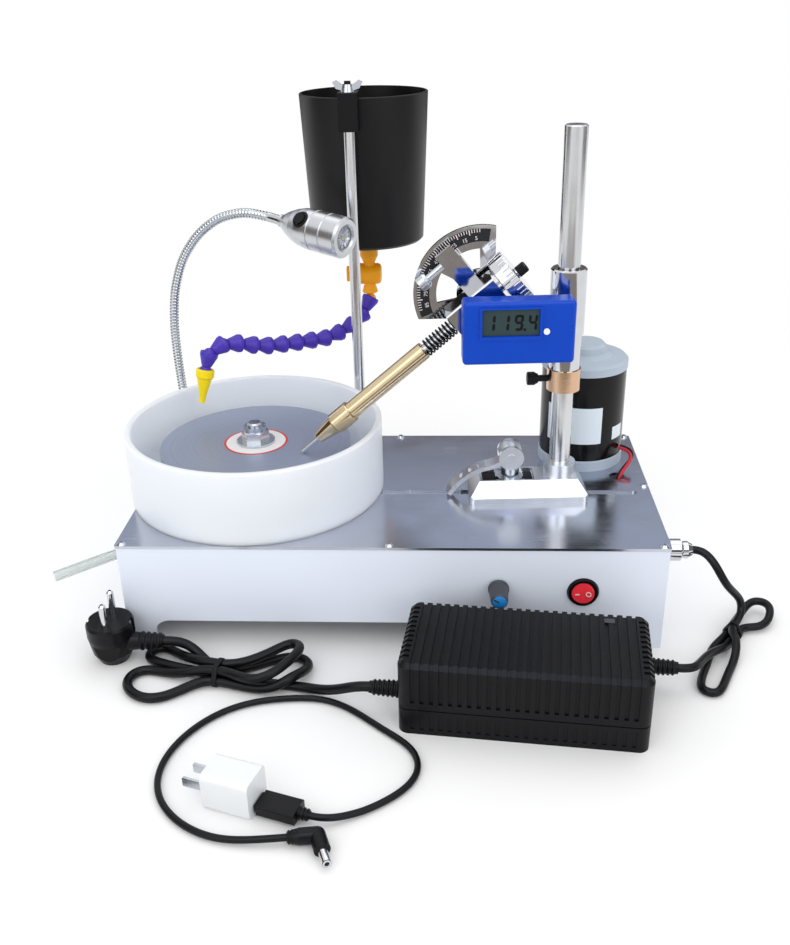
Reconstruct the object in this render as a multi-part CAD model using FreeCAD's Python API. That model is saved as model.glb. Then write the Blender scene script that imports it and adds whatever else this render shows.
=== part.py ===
import FreeCAD
import Part
import math
import os

# Gem faceting machine: a flat lap turning in a splash bowl, fed with water from a tank, with an
# angle head on a mast, a gooseneck lamp and the supply leads. Millimetres, +Z up, +Y to the back.
# The origin is the middle of the base's footprint, on the surface that it stands on.

# Base
BASE_L = 400.0
BASE_W = 198.0
BASE_H = 85.0
PLATE_T = 2.0
PLATE_LIP = 1.0
PANEL_T = 5.0
LEG_W = 20.0
ARCH_H = 20.5
ARCH_R = 12.0
SCREW_R = 1.5
SCREW_L = 10.0
SCREW_HEAD_R = 3.3
SCREW_HEAD_H = 1.8

# Clearances
FIT = 0.05
GAP = 0.3

# Splash bowl, drain and lap
BOWL_X = -110.0
BOWL_Y = 2.0
BOWL_R = 100.0
BOWL_WALL = 5.0
BOWL_H = 57.0
BOWL_FLOOR = 5.0
COLLAR_TUBE_R = 19.0
COLLAR_TUBE_H = 12.0
DRAIN_R = 4.0
DRAIN_BORE = 2.8
LAP_R = 75.0
LAP_T = 1.0
PLATEN_T = 8.0
LAP_RISE = 38.0
WASHER_R = 15.0
WASHER_T = 2.0
NUT_AF = 19.0
NUT_H = 12.0

# Spindle, belt and motor
SPINDLE_R = 6.0
SPINDLE_FLANGE_R = 20.0
SPINDLE_FLANGE_T = 6.0
BEARING_R = 14.0
BEARING_T = 8.0
HOUSING_R = 21.0
HOUSING_FLANGE_R = 40.0
HOUSING_FLANGE_T = 8.0
HOUSING_CLEAR = 6.0
NECK_R = 14.5
NECK_H = 11.0
PULLEY_Z = 20.0
PULLEY_H = 12.0
PULLEY_LIP = 2.5
LAP_PULLEY_R = 24.0
MOTOR_PULLEY_R = 12.0
BELT_T = 1.6
BELT_W = 6.0
MOTOR_X = BASE_L / 2.0 - 47.5
MOTOR_Y = 60.0
MOTOR_R = 34.5
MOTOR_CAP_H = 9.0
MOTOR_H = 89.0
MOTOR_BOSS_R = 16.0
MOTOR_BOSS_H = 11.0
MOTOR_SHAFT_R = 4.0
LEAD_R = 1.4

# Front controls and power inlet
KNOB_X = 78.5
KNOB_Z = 52.5
KNOB_R = 7.6
KNOB_L = 18.0
KNOB_SHAFT_R = 3.0
SWITCH_X = 139.5
SWITCH_Z = 48.5
SWITCH_R = 10.0
SWITCH_BEZEL_R = 11.6
SWITCH_BEZEL_T = 2.2
ROCKER_R = 8.2
ROCKER_TILT = 8.0
INLET_Y = -60.0
INLET_Z = 62.0
INLET_R = 7.0

# Mast carriage, in a frame whose origin is the clamp bolt and which is turned on the plate
CLAMP_X = 90.0
SLOT_Y = -11.0
CARRIAGE_TURN = 3.3
SLOT_W = 7.0
SLOT_LEFT = 110.0
SLOT_RIGHT = 99.0
CARRIAGE_LEFT = 32.5
CARRIAGE_RIGHT = 59.0
CARRIAGE_W = 40.0
CARRIAGE_EDGE = 4.5
CARRIAGE_H = 16.0
BEVEL = 8.0
POCKET_W = 20.6
POCKET_LEFT = 22.0
POCKET_RIGHT = 18.0
POCKET_D = 3.2
BOLT_R = 3.4
CLAMP_WASHER_R = 10.0
CAM_RISE = 17.0
CAM_R = 9.5
CAM_PIN_R = 3.5
CAM_CHEEK_T = 3.5
CAM_FORK = 5.5
LEVER_W = 13.0
LEVER_T = 3.4

# Mast, stop collar and head
MAST_U = 38.0
MAST_R = 8.0
MAST_TOP = BASE_H + 275.0
SOCKET_R = 12.0
SOCKET_H = 11.0
STOP_Z = BASE_H + 86.5
STOP_H = 16.5
STOP_R = 12.4
STOP_SCREW_R = 2.5
STOP_SCREW_HEAD_R = 5.0
SLEEVE_H = 75.0
SLEEVE_R = 13.0
SLEEVE_LOW_R = 11.4
SLEEVE_LOW_H = 27.0

# Angle head: pivot, quadrant and display
PIVOT_U = -22.7
PIVOT_Z = BASE_H + 155.0
PIVOT_PIN_R = 5.0
ARM_ANGLE = 40.0
QUADRANT_R = 50.0
QUADRANT_T = 3.0
QUADRANT_V = 21.0
QUADRANT_RIGHT = 10.4
QUADRANT_LOW = 19.0
WINDOW_IN = 18.0
WINDOW_OUT = 33.0
BAR_T = 9.0
BAR_H = 22.0
DISPLAY_W = 78.0
DISPLAY_H = 45.0
DISPLAY_D = 19.0
DISPLAY_LEFT = -40.2
DISPLAY_LOW = BASE_H + 120.5
DISPLAY_BACK = 22.0
DISPLAY_ROUND = 3.0
LCD_W = 39.5
LCD_H = 19.0
LCD_LEFT = 13.3
LCD_LOW = 21.0
LCD_D = 1.2
DISPLAY_BUTTON_R = 2.2
DISPLAY_BUTTON_LEFT = 57.7
DISPLAY_BUTTON_LOW = 24.0

# Arm, along its own axis from the pivot: positive towards the dop
BLOCK_BACK = 16.0
BLOCK_FRONT = 26.0
BLOCK_W = 26.0
BLOCK_H = 24.0
POINTER_W = 14.0
POINTER_H = 45.0
POINTER_T = 10.0
LOCK_SCREW_R = 2.5
LOCK_SCREW_HEAD_R = 6.0
LOCK_SCREW_REACH = 29.0
LOCK_SCREW_RISE = 36.0
SCREW_TIP_GAP = 0.3
QUILL_R = 4.0
SPRING_R = 5.8
SPRING_WIRE_R = 0.7
SPRING_TURNS = 9
HANDLE_R = 6.8
HANDLE_NEAR = 55.5
HANDLE_FAR = 128.5
COLLET_R = 8.6
COLLET_GRIP = 16.0
COLLET_FAR = 162.0
COLLET_NOSE_R = 4.4
DOP_R = 2.0
DOP_FAR = 179.2
INDEX_R = 20.0
INDEX_T = 12.0
INDEX_NOTCHES = 32
INDEX_KNOB_R = 3.7
INDEX_KNOB_L = 7.5

# Water tank on its rod
ROD_X = -34.0
ROD_Y = BASE_W / 2.0 - PANEL_T - 8.0
ROD_R = 4.4
ROD_TOP = BASE_H + 267.0
TANK_X = -27.0
TANK_Y = BASE_W / 2.0 + 48.0
TANK_Z = BASE_H + 165.0
TANK_H = 119.0
TANK_TOP_R = 52.5
TANK_LOW_R = 47.5
TANK_WALL = 2.0
CLIP_W = 15.0
CLIP_H = 27.0
CLIP_CAP = 4.0
VALVE_NECK_R = 7.0
VALVE_R = 9.0
VALVE_L = 21.0
VALVE_DROP = 31.0
VALVE_SKIRT_H = 7.0
VALVE_SKIRT_R = 7.0
VALVE_WAIST_R = 5.0
VALVE_PIN_R = 2.5
HOSE_BALL_R = 5.0
HOSE_LINK_R = 7.4
HOSE_BORE_R = 2.2
NOZZLE_TIP_R = 2.6

# Lamp
LAMP_X = 13.0 - BASE_L / 2.0
LAMP_Y = BASE_W / 2.0 - PANEL_T - 8.5
NECK_TUBE_R = 3.8
NECK_TUBE_BORE = 2.6
NECK_RIB = 0.35
NECK_PITCH = 2.6
NECK_SLEEVE = 12.0
LAMP_R = 15.5
LAMP_L = 64.0
LAMP_CONE = 24.0
LAMP_TAIL_R = 5.0
LENS_R = 9.0
LAMP_BUTTON_TURN = 50.0
LAMP_BUTTON_R = 4.4

# Power brick and leads
BRICK_X = 94.0
BRICK_Y = -166.0
BRICK_L = 163.0
BRICK_W = 77.0
BRICK_H = 55.0
BRICK_SPLIT = 20.0
BRICK_TURN = -6.0
BRICK_ROUND = 7.0
BRICK_RIBS = 23
BRICK_TEETH = 11
BRICK_BEVEL = 3.2
RELIEF_Z = 20.0
RELIEF_L = 26.0
RELIEF_R = 5.6
DC_D = 6.0
MAINS_D = 7.0
LAMP_LEAD_D = 4.4
PLUG_X = -205.5
PLUG_Y = -116.0
PLUG_R = 17.4
PLUG_H = 33.0
PLUG_GRIP = 0.76
PLUG_FACE_LOW = 0.55 * PLUG_H
PLUG_NOTCH = 2.6
PLUG_NOTCH_W = 6.4
PLUG_NOTCH_H = 11.0
PIN_R = 2.4
PIN_L = 19.0
PIN_SPACING = 19.0
CHARGER_X = -87.0
CHARGER_Y = -262.0
CHARGER_L = 32.0
CHARGER_W = 23.0
CHARGER_H = 26.0
CHARGER_TURN = -18.0

PLATE_LOW = BASE_H - PLATE_T
X_AXIS = FreeCAD.Vector(1, 0, 0)
Y_AXIS = FreeCAD.Vector(0, 1, 0)
Z_AXIS = FreeCAD.Vector(0, 0, 1)
ORIGIN = FreeCAD.Vector(0, 0, 0)


def vec(x, y, z):
    return FreeCAD.Vector(x, y, z)


def box(x0, x1, y0, y1, z0, z1):
    return Part.makeBox(x1 - x0, y1 - y0, z1 - z0, vec(x0, y0, z0))


def rod(radius, start, end):
    """A round bar between two points."""
    along = end - start
    return Part.makeCylinder(radius, along.Length, start, along)


def tube(outer, inner, start, end):
    return rod(outer, start, end).cut(rod(inner, start, end))


def cone(r0, r1, start, end):
    along = end - start
    return Part.makeCone(r0, r1, along.Length, start, along)


def fuse(first, *rest):
    shape = first
    for other in rest:
        shape = shape.fuse(other)
    return shape.removeSplitter()


def cut(first, *rest):
    shape = first
    for other in rest:
        shape = shape.cut(other)
    return shape


def hex_bar(across_flats, height, base):
    """An upright hexagonal bar."""
    radius = across_flats / math.sqrt(3.0)
    corners = []
    for k in range(7):
        a = math.radians(60.0 * k)
        corners.append(base + vec(radius * math.cos(a), radius * math.sin(a), 0))
    face = Part.Face(Part.makePolygon(corners))
    return face.extrude(vec(0, 0, height))


def revolve(profile, base=ORIGIN, axis=Z_AXIS):
    """Turn an (r, z) outline round the Z axis, then stand it at base along axis."""
    points = [vec(r, 0, z) for r, z in profile]
    points.append(points[0])
    solid = Part.Face(Part.makePolygon(points)).revolve(ORIGIN, Z_AXIS, 360)
    turn = FreeCAD.Rotation(Z_AXIS, axis)
    solid.Placement = FreeCAD.Placement(base, turn)
    return solid


def rectangle(x0, x1, y0, y1, z):
    return Part.makePolygon([vec(x0, y0, z), vec(x1, y0, z), vec(x1, y1, z), vec(x0, y1, z),
                             vec(x0, y0, z)])


def rounded_box(x0, x1, y0, y1, z0, z1, radius, axis=None):
    """A box whose edges along one axis, or all edges, are rounded."""
    solid = box(x0, x1, y0, y1, z0, z1)
    if axis is None:
        return solid.makeFillet(radius, solid.Edges)
    chosen = []
    for edge in solid.Edges:
        along = edge.Vertexes[1].Point - edge.Vertexes[0].Point
        if abs(along.normalize().dot(axis)) > 0.99:
            chosen.append(edge)
    return solid.makeFillet(radius, chosen)


def save(name, *solids):
    """Write one node, a single solid or a group of separate ones."""
    shape = solids[0] if len(solids) == 1 else Part.makeCompound(list(solids))
    volume = 0.0
    for solid in shape.Solids:
        volume += solid.Volume
        if not solid.isValid() or solid.Volume <= 0:
            print("CHECK", name, "has a solid that is not valid")
    shape.exportStep("parts/" + name + ".step")
    print(name, len(shape.Solids), "solids", round(volume / 1000.0, 2), "cm3")


def on_carriage(shape):
    """Move a shape from the carriage's frame to its place on the plate."""
    moved = shape.copy()
    moved.rotate(ORIGIN, Z_AXIS, CARRIAGE_TURN)
    moved.translate(vec(CLAMP_X, SLOT_Y, 0))
    return moved


def on_arm(shape):
    """Move a shape from the arm's frame, +X towards the dop and +Y to the front, to its place."""
    moved = shape.copy()
    moved.rotate(ORIGIN, Z_AXIS, 180)
    moved.rotate(ORIGIN, Y_AXIS, -ARM_ANGLE)
    moved.translate(vec(PIVOT_U, 0, PIVOT_Z))
    return on_carriage(moved)


def arc_between(start, tangent, end):
    """The circular arc that leaves start along tangent and reaches end."""
    chord = end - start
    side = tangent - chord * (tangent.dot(chord) / chord.dot(chord))
    if side.Length < 1e-6:
        return Part.LineSegment(start, end)
    turn = tangent.getAngle(chord)
    middle = (start + end) * 0.5 + side.normalize() * (0.5 * chord.Length * math.tan(turn / 2.0))
    return Part.Arc(start, middle, end)


def biarc(p0, t0, p1, t1):
    """Two arcs that join two points with the given directions."""
    v = p1 - p0
    t = t0 + t1
    k = 2.0 * (1.0 - t0.dot(t1))
    if k < 1e-9:
        d = v.dot(v) / (4.0 * v.dot(t0))
    else:
        d = (-v.dot(t) + math.sqrt(v.dot(t) ** 2 + k * v.dot(v))) / k
    middle = (p0 + t0 * d + p1 - t1 * d) * 0.5
    back = arc_between(p1, t1 * -1.0, middle)
    second = Part.LineSegment(middle, p1)
    if isinstance(back, Part.Arc):
        second = Part.Arc(middle, back.value(0.5 * (back.FirstParameter + back.LastParameter)), p1)
    return [arc_between(p0, t0, middle), second]


def sweep(edges, radius):
    """A round tube along a chain of lines and arcs."""
    wire = Part.Wire([edge.toShape() for edge in edges])
    start = wire.Edges[0].valueAt(wire.Edges[0].FirstParameter)
    along = wire.Edges[0].tangentAt(wire.Edges[0].FirstParameter)
    ring = Part.Wire(Part.makeCircle(radius, start, along))
    return wire.makePipeShell([ring], True, False), wire


def route_edges(points):
    """Straight runs joined by tangent arcs, as large as the runs beside each corner allow."""
    edges = []
    radii = []
    last = points[0]
    for k in range(1, len(points) - 1):
        into = points[k] - points[k - 1]
        out = points[k + 1] - points[k]
        half = into.getAngle(out) / 2.0
        reach = 0.45 * min(into.Length, out.Length)
        radii.append(reach / math.tan(half))
        into.normalize()
        out.normalize()
        start = points[k] - into * reach
        end = points[k] + out * reach
        edges.append(Part.LineSegment(last, start))
        edges.append(arc_between(start, into, end))
        last = end
    edges.append(Part.LineSegment(last, points[-1]))
    return edges, radii


def least_gap(wire, diameter, skip):
    """The least clear gap of a tube to itself, on points along its line."""
    count = int(wire.Length / (0.35 * diameter))
    points = wire.discretize(Number=count)
    step = wire.Length / (count - 1)
    apart = int(skip / step)
    least = (1e9, None, None)
    for i in range(count):
        for j in range(i + apart, count):
            away = points[i].distanceToPoint(points[j])
            if away < least[0]:
                least = (away, points[i], points[j])
    places = [[round(c, 1) for c in point] for point in least[1:]]
    return [round(least[0] - diameter, 2)] + places


def cord(name, route, diameter, skip):
    """A cord's tube along its route, with its radii, volume and least gap printed."""
    edges, radii = route_edges([vec(*point) for point in route])
    solid, wire = sweep(edges, diameter / 2.0)
    expected = math.pi * diameter ** 2 / 4.0 * wire.Length
    print(name, "length", round(wire.Length, 1), "radii", [round(r, 1) for r in radii])
    print(name, "volume over section times length", round(solid.Volume / expected, 4),
          "least gap", least_gap(wire, diameter, skip))
    return solid


# Base box
HALF_L = BASE_L / 2.0 - PLATE_LIP
HALF_W = BASE_W / 2.0 - PLATE_LIP
SCREW_ROW_X = BASE_L / 2.0 - 5.0
PANEL_MID_X = HALF_L - PANEL_T / 2.0
PANEL_MID_Y = HALF_W - PANEL_T / 2.0
SCREW_PLACES = [(x, y) for x in (-SCREW_ROW_X, 0.0, SCREW_ROW_X) for y in (-PANEL_MID_Y, PANEL_MID_Y)]
SCREW_PLACES += [(PANEL_MID_X, 0.0)]
BUSH_R = 3.6
LEAD_HOLE_X = BASE_L / 2.0 - 22.0
LEAD_HOLE_Y = 18.0
LEAD_HOLE_R = 6.2
DRAIN_START = vec(-163.0, -60.0, PLATE_LOW - 7.5)
DRAIN_END = vec(-250.0, -94.0, PLATE_LOW - 27.0)
DRAIN_WAY = (DRAIN_END - DRAIN_START).normalize()
ELBOW_R = 5.5


def screw_holes(depth):
    return [rod(SCREW_R + FIT, vec(x, y, PLATE_LOW - depth), vec(x, y, BASE_H)) for x, y in SCREW_PLACES]


def arched_panel(y0, y1):
    """A full-length panel with an arch between its two feet."""
    panel = box(-HALF_L, HALF_L, y0, y1, 0, PLATE_LOW)
    foot = HALF_L - LEG_W
    arch = rounded_box(-foot, foot, y0 - 1.0, y1 + 1.0, ARCH_H - 3.0 * ARCH_R, ARCH_H, ARCH_R, Y_AXIS)
    return cut(panel, arch, *screw_holes(SCREW_L))


def make_base():
    front = arched_panel(-HALF_W, -HALF_W + PANEL_T)
    knob_hole = rod(BUSH_R + GAP, vec(KNOB_X, -HALF_W, KNOB_Z), vec(KNOB_X, -HALF_W + PANEL_T, KNOB_Z))
    switch_hole = rod(SWITCH_R + GAP, vec(SWITCH_X, -HALF_W, SWITCH_Z),
                      vec(SWITCH_X, -HALF_W + PANEL_T, SWITCH_Z))
    save("front_panel", cut(front, knob_hole, switch_hole))
    rear = arched_panel(HALF_W - PANEL_T, HALF_W)
    left = box(-HALF_L, -HALF_L + PANEL_T, -HALF_W + PANEL_T, HALF_W - PANEL_T, 0, PLATE_LOW)
    right = box(HALF_L - PANEL_T, HALF_L, -HALF_W + PANEL_T, HALF_W - PANEL_T, 0, PLATE_LOW)
    drain_hole = rod(DRAIN_R + GAP, DRAIN_START, DRAIN_END)
    inlet_hole = rod(INLET_R + GAP, vec(HALF_L - PANEL_T, INLET_Y, INLET_Z), vec(HALF_L, INLET_Y, INLET_Z))
    left = cut(left, drain_hole, *screw_holes(SCREW_L))
    right = cut(right, inlet_hole, *screw_holes(SCREW_L))
    save("base_panels", rear, left, right)

    plate = rounded_box(-BASE_L / 2, BASE_L / 2, -BASE_W / 2, BASE_W / 2, PLATE_LOW, BASE_H, PLATE_T,
                        Z_AXIS)
    slot_left = CLAMP_X - SLOT_LEFT
    slot_right = CLAMP_X + SLOT_RIGHT
    slot = rounded_box(slot_left, slot_right, SLOT_Y - SLOT_W / 2, SLOT_Y + SLOT_W / 2, PLATE_LOW - 1,
                       BASE_H + 1,
                       SLOT_W / 2 - 0.01, Z_AXIS)
    through = []
    for x, y, radius in ((BOWL_X, BOWL_Y, NECK_R + GAP), (MOTOR_X, MOTOR_Y, MOTOR_SHAFT_R + 2.0),
                         (LEAD_HOLE_X, LEAD_HOLE_Y, LEAD_HOLE_R), (ROD_X, ROD_Y, ROD_R + GAP),
                         (LAMP_X, LAMP_Y, NECK_TUBE_R + GAP), (DRAIN_START.x, DRAIN_START.y,
                                                               ELBOW_R + GAP)):
        through.append(rod(radius, vec(x, y, PLATE_LOW), vec(x, y, BASE_H)))
    save("top_plate", cut(plate, slot, *(through + screw_holes(0.0))))

    screws = []
    for x, y in SCREW_PLACES:
        shank = rod(SCREW_R, vec(x, y, BASE_H - SCREW_L), vec(x, y, BASE_H))
        head = cone(SCREW_HEAD_R, 0.6 * SCREW_HEAD_R, vec(x, y, BASE_H), vec(x, y, BASE_H + SCREW_HEAD_H))
        recess = hex_bar(0.6 * SCREW_HEAD_R, SCREW_HEAD_H, vec(x, y, BASE_H + 0.4 * SCREW_HEAD_H))
        screws.append(fuse(shank, head).cut(recess))
    save("plate_screws", *screws)


# Bowl and lap
LAP_TOP = BASE_H + LAP_RISE
FLANGE_LOW = LAP_TOP - LAP_T - PLATEN_T - SPINDLE_FLANGE_T
NUT_TOP = LAP_TOP + WASHER_T + NUT_H
BARB_R = DRAIN_BORE - FIT
BARB_L = 16.0


def at_lap(z):
    return vec(BOWL_X, BOWL_Y, z)


def make_bowl():
    inner = BOWL_R - BOWL_WALL
    floor = BASE_H + BOWL_FLOOR
    rim = BASE_H + BOWL_H
    bore = NECK_R + GAP
    collar_top = floor + COLLAR_TUBE_H
    shell = revolve([(bore, BASE_H), (BOWL_R, BASE_H), (BOWL_R, rim - 1.0), (BOWL_R - 1.0, rim),
                     (inner + 1.0, rim),
                     (inner, rim - 1.0), (inner, floor), (COLLAR_TUBE_R, floor),
                     (COLLAR_TUBE_R, collar_top),
                     (bore, collar_top)], vec(BOWL_X, BOWL_Y, 0))
    top = vec(DRAIN_START.x, DRAIN_START.y, floor)
    elbow = fuse(rod(ELBOW_R, DRAIN_START, top), Part.makeSphere(ELBOW_R, DRAIN_START),
                 rod(BARB_R, DRAIN_START, DRAIN_START + DRAIN_WAY * BARB_L))
    bore_r = 0.6 * DRAIN_BORE
    ways = fuse(rod(bore_r, DRAIN_START, top), Part.makeSphere(bore_r, DRAIN_START),
                rod(bore_r, DRAIN_START, DRAIN_START + DRAIN_WAY * BARB_L))
    save("splash_bowl", fuse(shell, elbow).cut(ways))
    save("drain_hose", tube(DRAIN_R, DRAIN_BORE, DRAIN_START + DRAIN_WAY * (ELBOW_R + GAP), DRAIN_END))


def make_lap():
    save("lap_platen", tube(LAP_R, SPINDLE_R + FIT, at_lap(FLANGE_LOW + SPINDLE_FLANGE_T),
                            at_lap(LAP_TOP - LAP_T)))
    save("lap_disc", tube(LAP_R, SPINDLE_R + FIT, at_lap(LAP_TOP - LAP_T), at_lap(LAP_TOP)))
    washer = tube(WASHER_R, SPINDLE_R + FIT, at_lap(LAP_TOP), at_lap(LAP_TOP + WASHER_T))
    low = at_lap(LAP_TOP + WASHER_T)
    hex_h = 0.7 * NUT_H
    crown_r = 0.5 * NUT_AF - 0.8
    chamfer = cone(0.5 * NUT_AF + 4.0, 0.5 * NUT_AF - 0.2, low + vec(0, 0, hex_h - 2.4),
                   low + vec(0, 0, hex_h))
    nut = hex_bar(NUT_AF, hex_h, low).common(fuse(rod(NUT_AF, low, low + vec(0, 0, hex_h - 2.4)), chamfer))
    nut = fuse(nut, rod(crown_r, low, at_lap(NUT_TOP)))
    save("lap_fasteners", washer, nut.cut(rod(SPINDLE_R + FIT, low, at_lap(NUT_TOP))))


def pulley(radius, bore, x, y):
    top = PULLEY_Z + PULLEY_H
    lip = radius + PULLEY_LIP
    rim = 2.0
    return revolve([(bore, PULLEY_Z), (lip, PULLEY_Z), (lip, PULLEY_Z + 0.5 * rim),
                    (radius, PULLEY_Z + rim),
                    (radius, top - rim), (lip, top - 0.5 * rim), (lip, top), (bore, top)], vec(x, y, 0))


HOUSING_TOP = PLATE_LOW
HOUSING_LOW = PULLEY_Z + PULLEY_H + HOUSING_CLEAR
BEARING_LOWS = (HOUSING_LOW + 2.0, PLATE_LOW - BEARING_T - 6.0)


def make_spindle():
    shaft = revolve([(0, PULLEY_Z - 2.0), (SPINDLE_R - 0.6, PULLEY_Z - 2.0), (SPINDLE_R, PULLEY_Z - 1.4),
                     (SPINDLE_R, FLANGE_LOW), (SPINDLE_FLANGE_R, FLANGE_LOW),
                     (SPINDLE_FLANGE_R, FLANGE_LOW + SPINDLE_FLANGE_T),
                     (SPINDLE_R, FLANGE_LOW + SPINDLE_FLANGE_T),
                     (SPINDLE_R, NUT_TOP + 1.6), (SPINDLE_R - 1.2, NUT_TOP + 2.8), (0, NUT_TOP + 2.8)],
                     at_lap(0))
    save("spindle", shaft, pulley(LAP_PULLEY_R, SPINDLE_R + FIT, BOWL_X, BOWL_Y))
    body = fuse(rod(HOUSING_R, at_lap(HOUSING_LOW), at_lap(HOUSING_TOP)),
                rod(HOUSING_FLANGE_R, at_lap(PLATE_LOW - HOUSING_FLANGE_T), at_lap(PLATE_LOW)),
                rod(NECK_R, at_lap(PLATE_LOW), at_lap(BASE_H + NECK_H)))
    bores = [rod(SPINDLE_R + 2.0, at_lap(HOUSING_LOW), at_lap(BASE_H + NECK_H))]
    rings = []
    for low in BEARING_LOWS:
        bores.append(rod(BEARING_R + FIT, at_lap(low), at_lap(low + BEARING_T)))
        rings.append(tube(BEARING_R, SPINDLE_R + FIT, at_lap(low), at_lap(low + BEARING_T)))
    save("spindle_housing", cut(body, *bores))
    save("spindle_bearings", *rings)


def belt_loop(r1, r2, z):
    """The outline round two pulleys: two outer tangents and two arcs."""
    a = at_lap(z)
    b = vec(MOTOR_X, MOTOR_Y, z)
    way = math.atan2(b.y - a.y, b.x - a.x)
    lean = math.acos((r1 - r2) / (b - a).Length)

    def rim(centre, radius, angle):
        return centre + vec(radius * math.cos(angle), radius * math.sin(angle), 0)

    edges = [Part.LineSegment(rim(a, r1, way + lean), rim(b, r2, way + lean)),
             Part.Arc(rim(b, r2, way + lean), rim(b, r2, way), rim(b, r2, way - lean)),
             Part.LineSegment(rim(b, r2, way - lean), rim(a, r1, way - lean)),
             Part.Arc(rim(a, r1, way - lean), rim(a, r1, way + math.pi), rim(a, r1, way + lean))]
    return Part.Face(Part.Wire([edge.toShape() for edge in edges]))


def make_drive():
    low = PULLEY_Z + 0.5 * (PULLEY_H - BELT_W)
    inner = belt_loop(LAP_PULLEY_R + GAP, MOTOR_PULLEY_R + GAP, low)
    outer = belt_loop(LAP_PULLEY_R + GAP + BELT_T, MOTOR_PULLEY_R + GAP + BELT_T, low)
    save("drive_belt", outer.cut(inner).extrude(vec(0, 0, BELT_W)))

    def at_motor(z):
        return vec(MOTOR_X, MOTOR_Y, z)

    top = BASE_H + MOTOR_H
    can_low = BASE_H + MOTOR_CAP_H
    can_top = top - MOTOR_CAP_H + 1.0
    wall = 3.0
    bore = MOTOR_SHAFT_R + FIT
    boss_top = top + MOTOR_BOSS_H
    save("motor_can", tube(MOTOR_R - 0.7, MOTOR_R - wall, at_motor(can_low), at_motor(can_top)))
    base_cap = revolve([(bore, BASE_H), (MOTOR_R, BASE_H), (MOTOR_R, can_low - 1.0),
                        (MOTOR_R - 1.0, can_low),
                        (bore, can_low)], at_motor(0))
    top_cap = revolve([(bore, can_top), (MOTOR_R, can_top), (MOTOR_R, top - 2.0), (MOTOR_R - 2.0, top),
                       (MOTOR_BOSS_R + 6.0, top + 1.0), (MOTOR_BOSS_R + 1.0, top + 4.0),
                       (MOTOR_BOSS_R, boss_top - 2.0),
                       (MOTOR_BOSS_R - 2.0, boss_top), (0, boss_top), (0, boss_top - 4.0),
                       (bore, boss_top - 4.0)],
                      at_motor(0))
    save("motor_end_caps", base_cap, top_cap)
    core_gap = 6.0
    core = MOTOR_R - wall - 1.5
    shaft_top = boss_top - 4.0 - GAP
    rotor = revolve([(0, PULLEY_Z - 2.0), (MOTOR_SHAFT_R, PULLEY_Z - 2.0),
                     (MOTOR_SHAFT_R, can_low + core_gap),
                     (core, can_low + core_gap), (core, can_top - core_gap),
                     (MOTOR_SHAFT_R, can_top - core_gap),
                     (MOTOR_SHAFT_R, shaft_top), (0, shaft_top)], at_motor(0))
    save("motor_shaft", rotor, pulley(MOTOR_PULLEY_R, MOTOR_SHAFT_R + FIT, MOTOR_X, MOTOR_Y))

    leads = []
    for side in (-1.0, 1.0):
        away = vec(0.86, -0.51, 0) * (MOTOR_R + 0.2) + vec(0.51, 0.86, 0) * (1.8 * side)
        start = at_motor(BASE_H + 15.0) + away
        lean = 1.8 * side
        route = [(start.x, start.y, start.z), (start.x + 8.0, start.y - 4.0, start.z - 0.5),
                 (start.x + 10.5, start.y - 13.0, start.z - 3.5), (LEAD_HOLE_X + 5.5,
                                                                   LEAD_HOLE_Y + 5.0 + lean, BASE_H + 5.0),
                 (LEAD_HOLE_X + 0.6, LEAD_HOLE_Y + lean, BASE_H - 2.5),
                 (LEAD_HOLE_X, LEAD_HOLE_Y + lean, BASE_H - 14.0)]
        leads.append(cord("motor lead", route, 2.0 * LEAD_R, 20.0))
    save("motor_leads", *leads)


# Front controls, with their axes along Y through the front panel
FRONT = -HALF_W
BACK_OF_FRONT = FRONT + PANEL_T


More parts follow.
